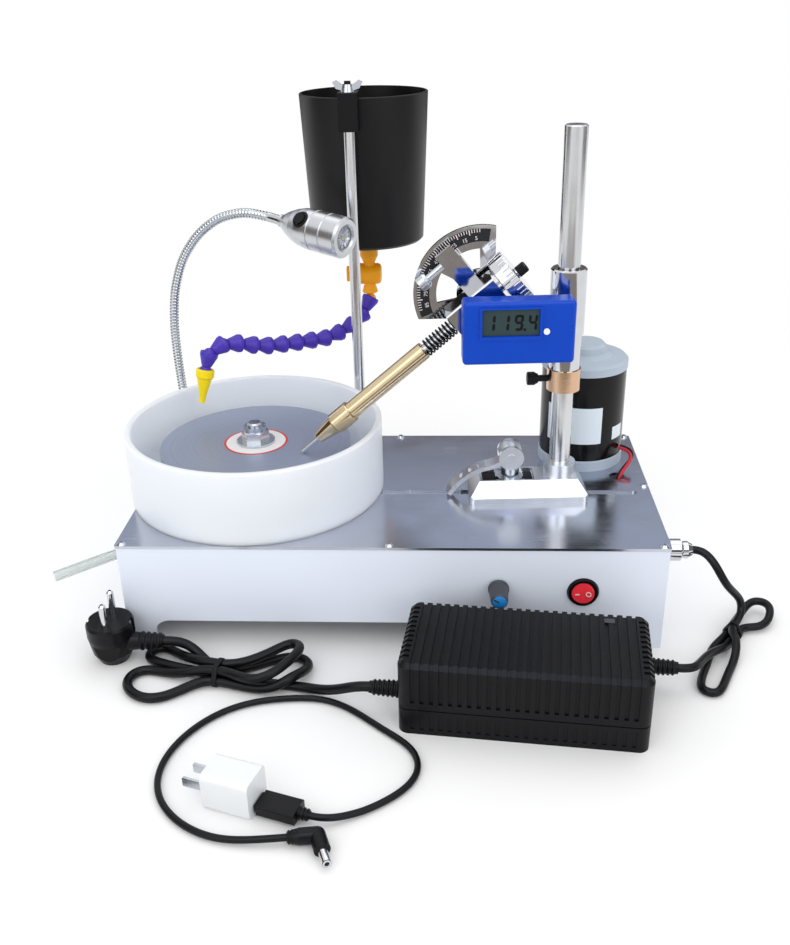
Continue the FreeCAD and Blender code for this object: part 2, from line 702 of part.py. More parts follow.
def make_controls():
    def at_knob(y):
        return vec(KNOB_X, y, KNOB_Z)

    bush = tube(BUSH_R, KNOB_SHAFT_R + FIT, at_knob(FRONT - 2.5), at_knob(BACK_OF_FRONT + 6.0))
    pot = tube(8.5, KNOB_SHAFT_R + FIT, at_knob(BACK_OF_FRONT + 1.0), at_knob(BACK_OF_FRONT + 11.0))
    board = box(KNOB_X - 16.0, KNOB_X + 16.0, BACK_OF_FRONT + 11.0, BACK_OF_FRONT + 12.6, KNOB_Z - 24.0,
                KNOB_Z + 12.0)
    nut = tube(5.5, BUSH_R, at_knob(FRONT - 2.0), at_knob(FRONT))
    save("speed_control", fuse(pot, bush, board, nut, tube(5.5, BUSH_R, at_knob(BACK_OF_FRONT),
                                                           at_knob(BACK_OF_FRONT + 1.0))))
    near = FRONT - 3.0
    knob = revolve([(0, 0), (KNOB_R, 0), (KNOB_R, 1.5), (KNOB_R - 0.5, 2.0), (KNOB_R - 1.6, KNOB_L - 1.0),
                    (KNOB_R - 2.4, KNOB_L), (0, KNOB_L)], at_knob(near), Y_AXIS * -1.0)
    pocket = rod(5.5 + GAP, at_knob(near - 0.5), at_knob(near))
    shaft = rod(KNOB_SHAFT_R, at_knob(near - 4.0), at_knob(BACK_OF_FRONT + 10.5))
    grooves = []
    for k in range(18):
        a = math.radians(20.0 * k)
        side = vec(math.cos(a), 0, math.sin(a)) * (KNOB_R + 0.15)
        grooves.append(rod(0.5, at_knob(near - 2.2) + side, at_knob(near - KNOB_L + 3.0) + side))
    save("speed_knob", fuse(cut(knob, pocket, *grooves), shaft))

    def at_switch(y):
        return vec(SWITCH_X, y, SWITCH_Z)

    bezel = revolve([(0, 0), (SWITCH_BEZEL_R, 0), (SWITCH_BEZEL_R - 1.0, SWITCH_BEZEL_T),
                     (ROCKER_R + 0.6, SWITCH_BEZEL_T), (0, SWITCH_BEZEL_T)], at_switch(FRONT),
                     Y_AXIS * -1.0)
    body = rod(SWITCH_R, at_switch(FRONT), at_switch(BACK_OF_FRONT + 14.0))
    pocket = rod(ROCKER_R + 0.6, at_switch(FRONT - SWITCH_BEZEL_T), at_switch(FRONT + 5.0))
    pin = 1.0
    ear = rod(pin + FIT, at_switch(FRONT) - vec(0, 0, ROCKER_R + 1.2),
              at_switch(FRONT) + vec(0, 0, ROCKER_R + 1.2))
    tabs = [box(SWITCH_X + dx - 0.4, SWITCH_X + dx + 0.4, BACK_OF_FRONT + 14.0, BACK_OF_FRONT + 22.0,
                SWITCH_Z - 3.0,
                SWITCH_Z + 3.0) for dx in (-5.0, 5.0)]
    save("switch_body", fuse(cut(fuse(bezel, body), pocket, ear), *tabs))
    face = 3.4
    rocker = rod(ROCKER_R, at_switch(FRONT - face), at_switch(FRONT + 3.0))
    ball = Part.makeSphere(ROCKER_R + 0.3, at_switch(FRONT))
    dish_r = 30.0
    dish = rod(dish_r, at_switch(FRONT - face - dish_r + 0.9) - vec(0, 0, 20),
               at_switch(FRONT - face - dish_r + 0.9) + vec(0, 0, 20))
    pins = rod(pin, at_switch(FRONT) - vec(0, 0, ROCKER_R + 1.0), at_switch(FRONT) + vec(0, 0,
                                                                                         ROCKER_R + 1.0))
    rocker = fuse(rocker.common(ball).cut(dish), pins)
    rocker.rotate(at_switch(FRONT), Z_AXIS, -ROCKER_TILT)
    save("switch_rocker", rocker)


INLET_END = HALF_L + 7.0
PLUG_SHELL_END = INLET_END + 17.5


def make_inlet():
    def at_inlet(x):
        return vec(x, INLET_Y, INLET_Z)

    barrel = rod(INLET_R, at_inlet(HALF_L - PANEL_T - 9.0), at_inlet(INLET_END))
    flange = hex_bar(17.0, 3.2, ORIGIN)
    flange.Placement = FreeCAD.Placement(at_inlet(HALF_L), FreeCAD.Rotation(Z_AXIS, X_AXIS))
    inner_nut = rod(9.5, at_inlet(HALF_L - PANEL_T - 3.0), at_inlet(HALF_L - PANEL_T))
    save("power_inlet", fuse(barrel, flange, inner_nut))
    ring = revolve([(0, 0), (8.0, 0), (8.4, 0.8), (8.4, 8.6), (7.2, 9.6), (6.6, 10.4), (6.6, 14.0),
                    (4.6, 17.5),
                    (0, 17.5)], at_inlet(INLET_END), X_AXIS)
    save("dc_plug", ring)


# Mast carriage, clamp and cam lever, in the carriage's frame
CARRIAGE_TOP = BASE_H + CARRIAGE_H
CAM_Z = CARRIAGE_TOP + CAM_RISE
EYE_R = 6.0
TEE_NUT_R = 9.0
TEE_NUT_T = 7.0


def slot_hole(half_run, radius, z0, z1):
    return fuse(box(-half_run, half_run, -radius, radius, z0, z1),
                rod(radius, vec(-half_run, 0, z0), vec(-half_run, 0, z1)),
                rod(radius, vec(half_run, 0, z0), vec(half_run, 0, z1)))


def make_carriage():
    half = CARRIAGE_W / 2.0
    edge = BASE_H + CARRIAGE_EDGE
    low = rectangle(-CARRIAGE_LEFT, CARRIAGE_RIGHT, -half, half, edge)
    high = rectangle(-CARRIAGE_LEFT + BEVEL, CARRIAGE_RIGHT - BEVEL, -half + BEVEL, half - BEVEL,
                     CARRIAGE_TOP)
    body = fuse(box(-CARRIAGE_LEFT, CARRIAGE_RIGHT, -half, half, BASE_H, edge),
                Part.makeLoft([low, high], True, True))
    body = body.common(rounded_box(-CARRIAGE_LEFT, CARRIAGE_RIGHT, -half, half, BASE_H, CARRIAGE_TOP, 4.0,
                                   Z_AXIS))
    foot = vec(MAST_U, 0, BASE_H + 2.0)
    socket = rod(SOCKET_R, vec(MAST_U, 0, CARRIAGE_TOP), vec(MAST_U, 0, CARRIAGE_TOP + SOCKET_H))
    pocket = box(-POCKET_LEFT, POCKET_RIGHT, -POCKET_W / 2, POCKET_W / 2, CARRIAGE_TOP - POCKET_D,
                 CARRIAGE_TOP)
    bore = rod(MAST_R + FIT, foot, vec(MAST_U, 0, CARRIAGE_TOP + SOCKET_H))
    body = cut(fuse(body, socket), pocket, bore, slot_hole(8.0, BOLT_R + GAP, BASE_H, CARRIAGE_TOP))
    save("mast_carriage", on_carriage(body))
    head_top = STOP_TOP + SLEEVE_H - foot.z
    tip = MAST_TOP - foot.z
    mast = revolve([(0, 0), (MAST_R, 0), (MAST_R, head_top - 1.0), (MAST_R - 0.4, head_top - 1.0),
                    (MAST_R - 0.4, head_top + 0.4), (MAST_R, head_top + 0.4), (MAST_R, tip - 1.0),
                    (MAST_R - 1.0, tip), (0, tip)], foot)
    save("mast_post", on_carriage(mast))

    def at_bolt(z):
        return vec(0, 0, z)

    washer_low = CARRIAGE_TOP - POCKET_D
    tee_top = PLATE_LOW - GAP
    bolt = fuse(rod(BOLT_R, at_bolt(tee_top - TEE_NUT_T - 3.0), at_bolt(CAM_Z)),
                rod(TEE_NUT_R, at_bolt(tee_top - TEE_NUT_T), at_bolt(tee_top)),
                rod(CLAMP_WASHER_R, at_bolt(washer_low), at_bolt(washer_low + 2.0)),
                rod(0.7 * CLAMP_WASHER_R, at_bolt(washer_low), at_bolt(CAM_Z - CAM_R - GAP)),
                rod(EYE_R, vec(0, -CAM_FORK + GAP, CAM_Z), vec(0, CAM_FORK - GAP, CAM_Z)))
    outer = CAM_FORK + CAM_CHEEK_T
    bolt = bolt.cut(rod(CAM_PIN_R + FIT, vec(0, -outer, CAM_Z), vec(0, outer, CAM_Z)))
    save("clamp_bolt", on_carriage(bolt))


def arc_band(start, middle, end, thick):
    """A flat strip of even thickness along an arc in the XZ plane."""
    arc = Part.Arc(start, middle, end).toShape().Curve
    corners = []
    for side in (-0.5, 0.5):
        scale = (arc.Radius + side * thick) / arc.Radius
        corners.append([arc.Center + (point - arc.Center) * scale for point in (start, middle, end)])
    near, far = corners
    edges = [Part.Arc(*near), Part.LineSegment(near[2], far[2]), Part.Arc(*far),
             Part.LineSegment(far[0], near[0])]
    return Part.Face(Part.Wire([edge.toShape() for edge in edges]))


def make_cam():
    half = LEVER_W / 2.0
    cheeks = []
    for side in (-1.0, 1.0):
        cheeks.append(rod(CAM_R, vec(0, side * CAM_FORK, CAM_Z), vec(0, side * (CAM_FORK + CAM_CHEEK_T),
                                                                     CAM_Z)))
    outer = CAM_FORK + CAM_CHEEK_T + 0.6
    pin = rod(CAM_PIN_R, vec(0, -outer, CAM_Z), vec(0, outer, CAM_Z))
    reach = 5.0 * CAM_R
    knee = vec(-0.42 * reach, 0, CAM_Z - 0.98 * CAM_R)
    tip = vec(-reach, 0, CAM_Z - 3.24 * CAM_R)
    root = arc_band(vec(-0.74 * CAM_R, 0, CAM_Z - 0.48 * CAM_R), vec(-1.4 * CAM_R, 0, CAM_Z - 0.81 * CAM_R),
                    knee, LEVER_T)
    blade = arc_band(knee, vec(-0.75 * reach, 0, CAM_Z - 1.82 * CAM_R), tip, LEVER_T)
    strips = []
    for face in (root, blade):
        face.translate(vec(0, -half, 0))
        strips.append(face.extrude(vec(0, LEVER_W, 0)))
    lever = fuse(strips[0], strips[1], cheeks[0], cheeks[1], pin)
    holes = []
    for share in (0.52, 0.66, 0.80):
        u = -share * reach
        holes.append(fuse(rod(1.3, vec(u, -2.2, BASE_H), vec(u, -2.2, CAM_Z)),
                          rod(1.3, vec(u, 2.2, BASE_H), vec(u, 2.2, CAM_Z)),
                          box(u - 1.3, u + 1.3, -2.2, 2.2, BASE_H, CAM_Z)))
    save("cam_lever", on_carriage(cut(lever, *holes)))


# Stop collar and head, in the carriage's frame
STOP_TOP = STOP_Z + STOP_H
STOP_SCREW_Z = STOP_Z + STOP_H / 2.0
STOP_SCREW_END = 10.7
BAR_BACK = QUADRANT_V + QUADRANT_T + BAR_T
CROSS_LOW = PIVOT_Z - 38.0
CROSS_HIGH = PIVOT_Z - 18.0
DISPLAY_FACE = -DISPLAY_BACK - DISPLAY_D
BUTTON_TRAVEL = 0.8


def at_mast(z):
    return vec(MAST_U, 0, z)


def make_collar():
    ring = tube(STOP_R, MAST_R + FIT, at_mast(STOP_Z), at_mast(STOP_TOP))
    start = vec(MAST_U - MAST_R - GAP, 0, STOP_SCREW_Z)
    neck = vec(STOP_SCREW_END + 8.0, 0, STOP_SCREW_Z)
    end = vec(STOP_SCREW_END, 0, STOP_SCREW_Z)
    save("stop_collar", on_carriage(ring.cut(rod(STOP_SCREW_R + FIT, neck, start))))
    grip = revolve([(0, 0), (STOP_SCREW_HEAD_R - 0.6, 0), (STOP_SCREW_HEAD_R, 0.6),
                    (STOP_SCREW_HEAD_R, 5.4),
                    (STOP_SCREW_HEAD_R - 0.6, 6.0), (0.7 * STOP_SCREW_HEAD_R, 8.0), (0, 8.0)], end, X_AXIS)
    save("collar_screw", on_carriage(fuse(grip, rod(STOP_SCREW_R, neck, start))))


def make_head():
    top = STOP_TOP + SLEEVE_H
    step = STOP_TOP + SLEEVE_LOW_H
    sleeve = revolve([(0, STOP_TOP), (SLEEVE_LOW_R, STOP_TOP), (SLEEVE_LOW_R, step), (SLEEVE_R, step),
                      (SLEEVE_R, top - 1.0),
                      (SLEEVE_R - 1.0, top), (0, top)], vec(MAST_U, 0, 0))
    bar_high = PIVOT_Z + BAR_H / 2.0
    bar_front = QUADRANT_V + QUADRANT_T
    bar_left = PIVOT_U - BAR_H / 2.0
    upright = rounded_box(bar_left, PIVOT_U + BAR_H / 2.0 - 2.0, bar_front, BAR_BACK, CROSS_LOW, bar_high,
                          2.0, Y_AXIS)
    bar = rounded_box(bar_left, MAST_U + SLEEVE_LOW_R, bar_front, BAR_BACK, CROSS_LOW, CROSS_HIGH, 2.0,
                      X_AXIS)
    link = box(MAST_U - SLEEVE_LOW_R, MAST_U + SLEEVE_LOW_R, 0, bar_front + 2.0, CROSS_LOW + 1.0,
               CROSS_HIGH - 1.0)
    display_right = DISPLAY_LEFT + DISPLAY_W
    bracket = box(display_right - 12.0, display_right - 2.0, -DISPLAY_BACK, 0, step, PIVOT_Z + 4.0)
    pivot = rod(PIVOT_PIN_R + FIT, vec(PIVOT_U, 0, PIVOT_Z), vec(PIVOT_U, BAR_BACK, PIVOT_Z))
    bore = rod(MAST_R + FIT, at_mast(STOP_TOP), at_mast(top))
    save("head_sleeve", on_carriage(cut(fuse(sleeve, upright, bar, link, bracket), bore, pivot)))

    case = rounded_box(DISPLAY_LEFT, display_right, DISPLAY_FACE, -DISPLAY_BACK, DISPLAY_LOW,
                       DISPLAY_LOW + DISPLAY_H, DISPLAY_ROUND)
    lcd_left = DISPLAY_LEFT + LCD_LEFT
    lcd_low = DISPLAY_LOW + LCD_LOW
    window = box(lcd_left, lcd_left + LCD_W, DISPLAY_FACE, DISPLAY_FACE + LCD_D, lcd_low, lcd_low + LCD_H)
    middle = vec(DISPLAY_LEFT + DISPLAY_BUTTON_LEFT, DISPLAY_FACE, DISPLAY_LOW + DISPLAY_BUTTON_LOW)
    hole = rod(DISPLAY_BUTTON_R + GAP, middle, middle + vec(0, 3.0, 0))
    save("angle_display", on_carriage(cut(case, window, hole)))
    save("display_button", on_carriage(rod(DISPLAY_BUTTON_R, middle - vec(0, 1.0, 0),
                                           middle + vec(0, 3.0 - BUTTON_TRAVEL - GAP, 0))))

    def sector(from_angle, to_angle):
        """A window in the quadrant, between two angles at the pivot."""
        front = vec(PIVOT_U, QUADRANT_V, PIVOT_Z)
        ring = tube(WINDOW_OUT, WINDOW_IN, front, front + vec(0, QUADRANT_T, 0))
        corners = [front]
        for angle in (from_angle, 0.5 * (from_angle + to_angle), to_angle):
            a = math.radians(angle)
            corners.append(front + vec(math.cos(a), 0, math.sin(a)) * (2.0 * WINDOW_OUT))
        corners.append(front)
        return ring.common(Part.Face(Part.makePolygon(corners)).extrude(vec(0, QUADRANT_T, 0)))

    front = vec(PIVOT_U, QUADRANT_V, PIVOT_Z)
    plate = rod(QUADRANT_R, front, front + vec(0, QUADRANT_T, 0))
    plate = plate.common(box(PIVOT_U - QUADRANT_R, PIVOT_U + QUADRANT_RIGHT, QUADRANT_V,
                             QUADRANT_V + QUADRANT_T,
                             PIVOT_Z - QUADRANT_LOW, PIVOT_Z + QUADRANT_R))
    save("quadrant", on_carriage(cut(plate, sector(92.0, 132.0), sector(152.0, 192.0), pivot)))


# Arm, in its own frame
WHEEL_NEAR = BLOCK_BACK + 3.0
WHEEL_FAR = WHEEL_NEAR + INDEX_T
POINTER_FRONT = -8.0
SPRING_NEAR = BLOCK_FRONT + 1.2
SPRING_FAR = HANDLE_NEAR - 0.9


def along_arm(x):
    return vec(x, 0, 0)


def make_arm():
    block = rounded_box(-BLOCK_BACK, BLOCK_FRONT, -BLOCK_W / 2, BLOCK_W / 2, -BLOCK_H / 2, BLOCK_H / 2, 1.5,
                        X_AXIS)
    pointer = box(-POINTER_W / 2, POINTER_W / 2, POINTER_FRONT - POINTER_T, POINTER_FRONT, 0, POINTER_H)
    pin = rod(PIVOT_PIN_R, ORIGIN, vec(0, -BAR_BACK - 3.0, 0))
    pin_nut = rod(PIVOT_PIN_R + 3.0, vec(0, -BAR_BACK - GAP, 0), vec(0, -BAR_BACK - 3.0, 0))
    bore = rod(QUILL_R + FIT, along_arm(-BLOCK_BACK), along_arm(BLOCK_FRONT))
    middle = POINTER_FRONT - POINTER_T / 2
    start = vec(-POINTER_W / 2 + 2.0, middle, LOCK_SCREW_RISE)
    neck = vec(LOCK_SCREW_REACH - 8.0, middle, LOCK_SCREW_RISE)
    hole = rod(LOCK_SCREW_R + FIT, start, neck)
    save("pivot_block", on_arm(cut(fuse(block, pointer, pin, pin_nut), bore, hole)))
    head = revolve([(0, 0), (LOCK_SCREW_HEAD_R - 1.5, 0), (LOCK_SCREW_HEAD_R, 2.0),
                    (LOCK_SCREW_HEAD_R, 7.4),
                    (LOCK_SCREW_HEAD_R - 0.6, 8.0), (0, 8.0)], neck, X_AXIS)
    save("lock_screw", on_arm(fuse(rod(LOCK_SCREW_R, start + X_AXIS * SCREW_TIP_GAP, neck), head)))
    save("quill_shaft", on_arm(rod(QUILL_R, along_arm(-WHEEL_FAR), along_arm(HANDLE_FAR - 8.0))))

    wheel = revolve([(QUILL_R + FIT, 0), (INDEX_R - 0.8, 0), (INDEX_R, 0.8), (INDEX_R, INDEX_T - 0.8),
                     (INDEX_R - 0.8, INDEX_T), (QUILL_R + FIT, INDEX_T)], along_arm(-WHEEL_FAR), X_AXIS)
    notches = []
    for k in range(INDEX_NOTCHES):
        a = 2.0 * math.pi * k / INDEX_NOTCHES
        side = vec(0, math.cos(a), math.sin(a)) * INDEX_R
        notches.append(rod(0.8, along_arm(-WHEEL_FAR) + side, along_arm(-WHEEL_FAR + 0.5 * INDEX_T) + side))
    knob = rod(INDEX_KNOB_R, along_arm(-WHEEL_FAR - INDEX_KNOB_L), along_arm(-WHEEL_FAR))
    save("index_wheel", on_arm(wheel.cut(Part.makeCompound(notches))), on_arm(knob))

    points = []
    tangents = []
    lead = (SPRING_FAR - SPRING_NEAR) / (2.0 * math.pi * SPRING_TURNS)
    for k in range(4 * SPRING_TURNS + 1):
        a = 0.5 * math.pi * k
        points.append(vec(SPRING_NEAR + lead * a, SPRING_R * math.cos(a), SPRING_R * math.sin(a)))
        tangents.append(vec(lead, -SPRING_R * math.sin(a), SPRING_R * math.cos(a)).normalize())
    coils = []
    for k in range(len(points) - 1):
        coils += biarc(points[k], tangents[k], points[k + 1], tangents[k + 1])
    save("quill_spring", on_arm(sweep(coils, SPRING_WIRE_R)[0]))

    grip = revolve([(QUILL_R + FIT, HANDLE_NEAR), (HANDLE_R - 0.8, HANDLE_NEAR),
                    (HANDLE_R, HANDLE_NEAR + 0.8),
                    (HANDLE_R, HANDLE_FAR), (QUILL_R + FIT, HANDLE_FAR)], ORIGIN, X_AXIS)
    collet = revolve([(DOP_R + FIT, HANDLE_FAR), (COLLET_R - 0.6, HANDLE_FAR), (COLLET_R, HANDLE_FAR + 0.6),
                      (COLLET_R, HANDLE_FAR + COLLET_GRIP), (COLLET_R - 1.2,
                                                             HANDLE_FAR + COLLET_GRIP + 1.2),
                      (COLLET_NOSE_R, COLLET_FAR), (DOP_R + FIT, COLLET_FAR)], ORIGIN, X_AXIS)
    save("brass_handle", on_arm(grip), on_arm(collet))
    save("dop_stick", on_arm(rod(DOP_R, along_arm(HANDLE_FAR - 3.0), along_arm(DOP_FAR))))


# Water tank, valve and ball-jointed hose
TANK_TOP = TANK_Z + TANK_H
CLIP_LOW = TANK_TOP - CLIP_H + CLIP_CAP
CLIP_TOP = TANK_TOP + 1.0 + CLIP_CAP
VALVE_Z = TANK_Z - VALVE_DROP
SKIRT_LOW = VALVE_Z - VALVE_R - VALVE_SKIRT_H
HOSE_TOP = vec(TANK_X, TANK_Y, SKIRT_LOW - 6.5)
HOSE_NECK_R = 3.3
HOSE_LINKS = 13
HOSE_LIP = 1.6
HOSE_WAY = [(HOSE_TOP.x, HOSE_TOP.y, HOSE_TOP.z), (-31.8, TANK_Y - 4.2, BASE_H + 100.5),
            (-46.8, TANK_Y - 16.6, BASE_H + 89.0), (-65.0, TANK_Y - 31.2, BASE_H + 85.4),
            (-88.8, TANK_Y - 50.2, BASE_H + 87.8), (-112.2, TANK_Y - 68.9, BASE_H + 91.2),
            (-132.8, TANK_Y - 85.3, BASE_H + 99.8), (-143.5, TANK_Y - 93.8, BASE_H + 101.3),
            (-151.0, TANK_Y - 99.8, BASE_H + 96.5), (-154.4, TANK_Y - 102.5, BASE_H + 87.0),
            (-156.0, TANK_Y - 103.8, BASE_H + 78.0)]
NOZZLE_END = vec(-160.0, TANK_Y - 107.0, BASE_H + 56.4)


def walk(way, pitch, count):
    """Points at an even chord along a chain of straight runs."""
    points = [way[0]]
    run = 0
    while len(points) <= count and run < len(way) - 1:
        a = way[run] - points[-1]
        b = way[run + 1] - way[run]
        qa = b.dot(b)
        qb = 2.0 * a.dot(b)
        qc = a.dot(a) - pitch * pitch
        root = qb * qb - 4.0 * qa * qc
        t = (-qb + math.sqrt(root)) / (2.0 * qa) if root >= 0 else 2.0
        if t > 1.0:
            run += 1
        else:
            points.append(way[run] + b * t)
    return points


HOSE_PITCH = 14.3
HOSE_BALLS = walk([vec(*point) for point in HOSE_WAY], HOSE_PITCH, HOSE_LINKS)


def socket_cut(solid, centre, axis, length):
    """Hollow a hose piece for the ball before it, and bore it through."""
    cavity = Part.makeSphere(HOSE_BALL_R + GAP, centre)
    return cut(solid, cavity, rod(HOSE_BORE_R, centre - axis * 4.0, centre + axis * length))


def make_water():
    floor = 3.0
    outer_low = TANK_LOW_R
    tank = revolve([(4.0, TANK_Z), (outer_low - 2.0, TANK_Z), (outer_low, TANK_Z + 2.0),
                    (TANK_TOP_R, TANK_TOP - 0.6), (TANK_TOP_R - 0.6, TANK_TOP),
                    (TANK_TOP_R - TANK_WALL, TANK_TOP),
                    (outer_low - TANK_WALL, TANK_Z + floor), (4.0, TANK_Z + floor)], vec(TANK_X, TANK_Y, 0))
    save("water_tank", tank)

    def at_rod(z):
        return vec(ROD_X, ROD_Y, z)

    foot_nut = hex_bar(13.0, 6.0, at_rod(BASE_H))
    low_nut = hex_bar(13.0, 6.0, at_rod(PLATE_LOW - 6.0))
    save("tank_rod", fuse(rod(ROD_R, at_rod(PLATE_LOW - 9.0), at_rod(ROD_TOP)), foot_nut, low_nut))

    half = CLIP_W / 2.0
    wall_y = TANK_Y - TANK_TOP_R
    tongue_y = TANK_Y - math.sqrt((TANK_TOP_R - TANK_WALL) ** 2 - (ROD_X - half - TANK_X) ** 2) + 0.6
    block = box(ROD_X - half, ROD_X + half, ROD_Y - half, wall_y - 0.5, CLIP_LOW, CLIP_TOP)
    bridge = box(ROD_X - half, ROD_X + half, ROD_Y - half, tongue_y + 2.4, CLIP_TOP - CLIP_CAP, CLIP_TOP)
    tongue = box(ROD_X - half, ROD_X + half, tongue_y, tongue_y + 2.4, TANK_TOP - 14.0, CLIP_TOP)
    stud = rod(2.5, at_rod(CLIP_TOP), at_rod(CLIP_TOP + 8.0))
    socket = rod(ROD_R + FIT, at_rod(CLIP_LOW), at_rod(ROD_TOP + GAP))
    save("tank_clip", cut(fuse(block, bridge, tongue, stud), socket))
    hub_low = CLIP_TOP + GAP
    hub = cone(5.2, 3.8, at_rod(hub_low), at_rod(hub_low + 5.5))
    wings = []
    for side in (-1.0, 1.0):
        outline = [vec(ROD_X + side * 3.0, ROD_Y - 0.8, hub_low + 0.6),
                   vec(ROD_X + side * 9.0, ROD_Y - 0.8, hub_low + 2.4),
                   vec(ROD_X + side * 11.5, ROD_Y - 0.8, hub_low + 7.0),
                   vec(ROD_X + side * 8.5, ROD_Y - 0.8, hub_low + 8.4),
                   vec(ROD_X + side * 3.0, ROD_Y - 0.8, hub_low + 4.6)]
        wings.append(Part.Face(Part.makePolygon(outline + [outline[0]])).extrude(vec(0, 1.6, 0)))
    nut = fuse(hub, wings[0], wings[1])
    save("wing_nut", nut.cut(rod(2.5 + GAP, at_rod(hub_low), at_rod(hub_low + 10.0))))

    def at_valve(z):
        return vec(TANK_X, TANK_Y, z)

    left = TANK_X - VALVE_L / 2.0
    barrel = revolve([(0, 0), (VALVE_R - 0.8, 0), (VALVE_R, 0.8), (VALVE_R, VALVE_L - 3.0),
                      (VALVE_R - 0.9, VALVE_L - 0.9), (VALVE_R - 3.0, VALVE_L), (0, VALVE_L)],
                     vec(left, TANK_Y, VALVE_Z), X_AXIS)
    skirt = revolve([(0, HOSE_TOP.z + 6.2), (VALVE_SKIRT_R - 0.6, HOSE_TOP.z + 6.2),
                     (VALVE_SKIRT_R, HOSE_TOP.z + 6.8),
                     (VALVE_WAIST_R, VALVE_Z - VALVE_R - 0.5), (VALVE_WAIST_R, VALVE_Z), (0, VALVE_Z)],
                     at_valve(0))
    neck = revolve([(0, VALVE_Z), (VALVE_WAIST_R, VALVE_Z), (VALVE_WAIST_R, VALVE_Z + VALVE_R + 1.0),
                    (VALVE_NECK_R + 0.8, VALVE_Z + VALVE_R + 7.0), (VALVE_NECK_R + 0.8, TANK_Z - 6.0),
                    (VALVE_NECK_R, TANK_Z - 5.0), (VALVE_NECK_R, TANK_Z), (0, TANK_Z)], at_valve(0))
    collar = hex_bar(17.0, 3.0, at_valve(TANK_Z - 3.0))
    outlet = fuse(rod(HOSE_NECK_R, HOSE_TOP, at_valve(SKIRT_LOW)), Part.makeSphere(HOSE_BALL_R, HOSE_TOP))
    bore = rod(HOSE_BORE_R, HOSE_TOP - vec(0, 0, HOSE_BALL_R), at_valve(TANK_Z))
    pin_hole = rod(VALVE_PIN_R + FIT, vec(left, TANK_Y, VALVE_Z), vec(left + 4.0, TANK_Y, VALVE_Z))
    save("tank_valve", cut(fuse(barrel, skirt, neck, collar, outlet), bore, pin_hole))
    near = left - GAP
    handle = fuse(rod(VALVE_PIN_R, vec(near, TANK_Y, VALVE_Z), vec(left + 3.7, TANK_Y, VALVE_Z)),
                  rod(4.4, vec(near - 3.0, TANK_Y, VALVE_Z), vec(near, TANK_Y, VALVE_Z)),
                  rounded_box(near - 9.2, near - 2.0, TANK_Y - 1.7, TANK_Y + 1.7, VALVE_Z - 6.5,
                              VALVE_Z + 6.5, 1.2, Y_AXIS))
    save("valve_handle", handle)

    links = []
    wide = HOSE_LINK_R
    for k in range(HOSE_LINKS):
        start = HOSE_BALLS[k]
        way = HOSE_BALLS[k + 1] - start
        length = way.Length
        way.normalize()
        body = revolve([(0, -HOSE_LIP), (wide - 0.6, -HOSE_LIP), (wide, -HOSE_LIP + 0.6), (wide, 1.4),
                        (HOSE_NECK_R + 0.8, length - 4.2), (HOSE_NECK_R, length - 3.6),
                        (HOSE_NECK_R, length),
                        (0, length)], start, way)
        ball = Part.makeSphere(HOSE_BALL_R, HOSE_BALLS[k + 1])
        links.append(socket_cut(fuse(body, ball), start, way, length + HOSE_BALL_R))
    save("hose_links", *links)
    start = HOSE_BALLS[-1]
    way = NOZZLE_END - start
    length = way.Length
    way.normalize()
    nozzle = revolve([(0, -HOSE_LIP), (wide - 0.8, -HOSE_LIP), (wide, -HOSE_LIP + 0.8), (wide, 4.6),
                      (wide - 1.4, 6.4),
                      (wide - 2.0, 9.0), (NOZZLE_TIP_R, length - 4.0), (NOZZLE_TIP_R, length), (0, length)],
                      start, way)
    nozzle = cut(nozzle, Part.makeSphere(HOSE_BALL_R + GAP, start), rod(1.3, start, NOZZLE_END))
    save("hose_nozzle", nozzle)
    print("hose balls", [(round(p.x, 1), round(p.y, 1), round(p.z, 1)) for p in HOSE_BALLS])


# Lamp
FERRULE_TOP = BASE_H + 9.0
LAMP_BACK = vec(-88.5, 65.0, BASE_H + 198.0)
LAMP_FRONT = vec(-34.5, 31.0, BASE_H + 191.2)
LAMP_WAY = (LAMP_FRONT - LAMP_BACK).normalize()
NECK_WAY = [vec(LAMP_X, LAMP_Y, FERRULE_TOP), vec(LAMP_X, LAMP_Y, BASE_H + 37.0),
            vec(-188.6, LAMP_Y, BASE_H + 80.0), vec(-188.3, LAMP_Y, BASE_H + 108.0),
            vec(-184.6, LAMP_Y, BASE_H + 137.0), vec(-174.8, 84.6, BASE_H + 164.0),
            vec(-158.6, 82.0, BASE_H + 185.0), vec(-139.4, 78.8, BASE_H + 198.4),
            vec(-118.0, 75.4, BASE_H + 203.0), LAMP_BACK - LAMP_WAY * 6.0 + vec(-4.5, 3.5, 0.8), LAMP_BACK]


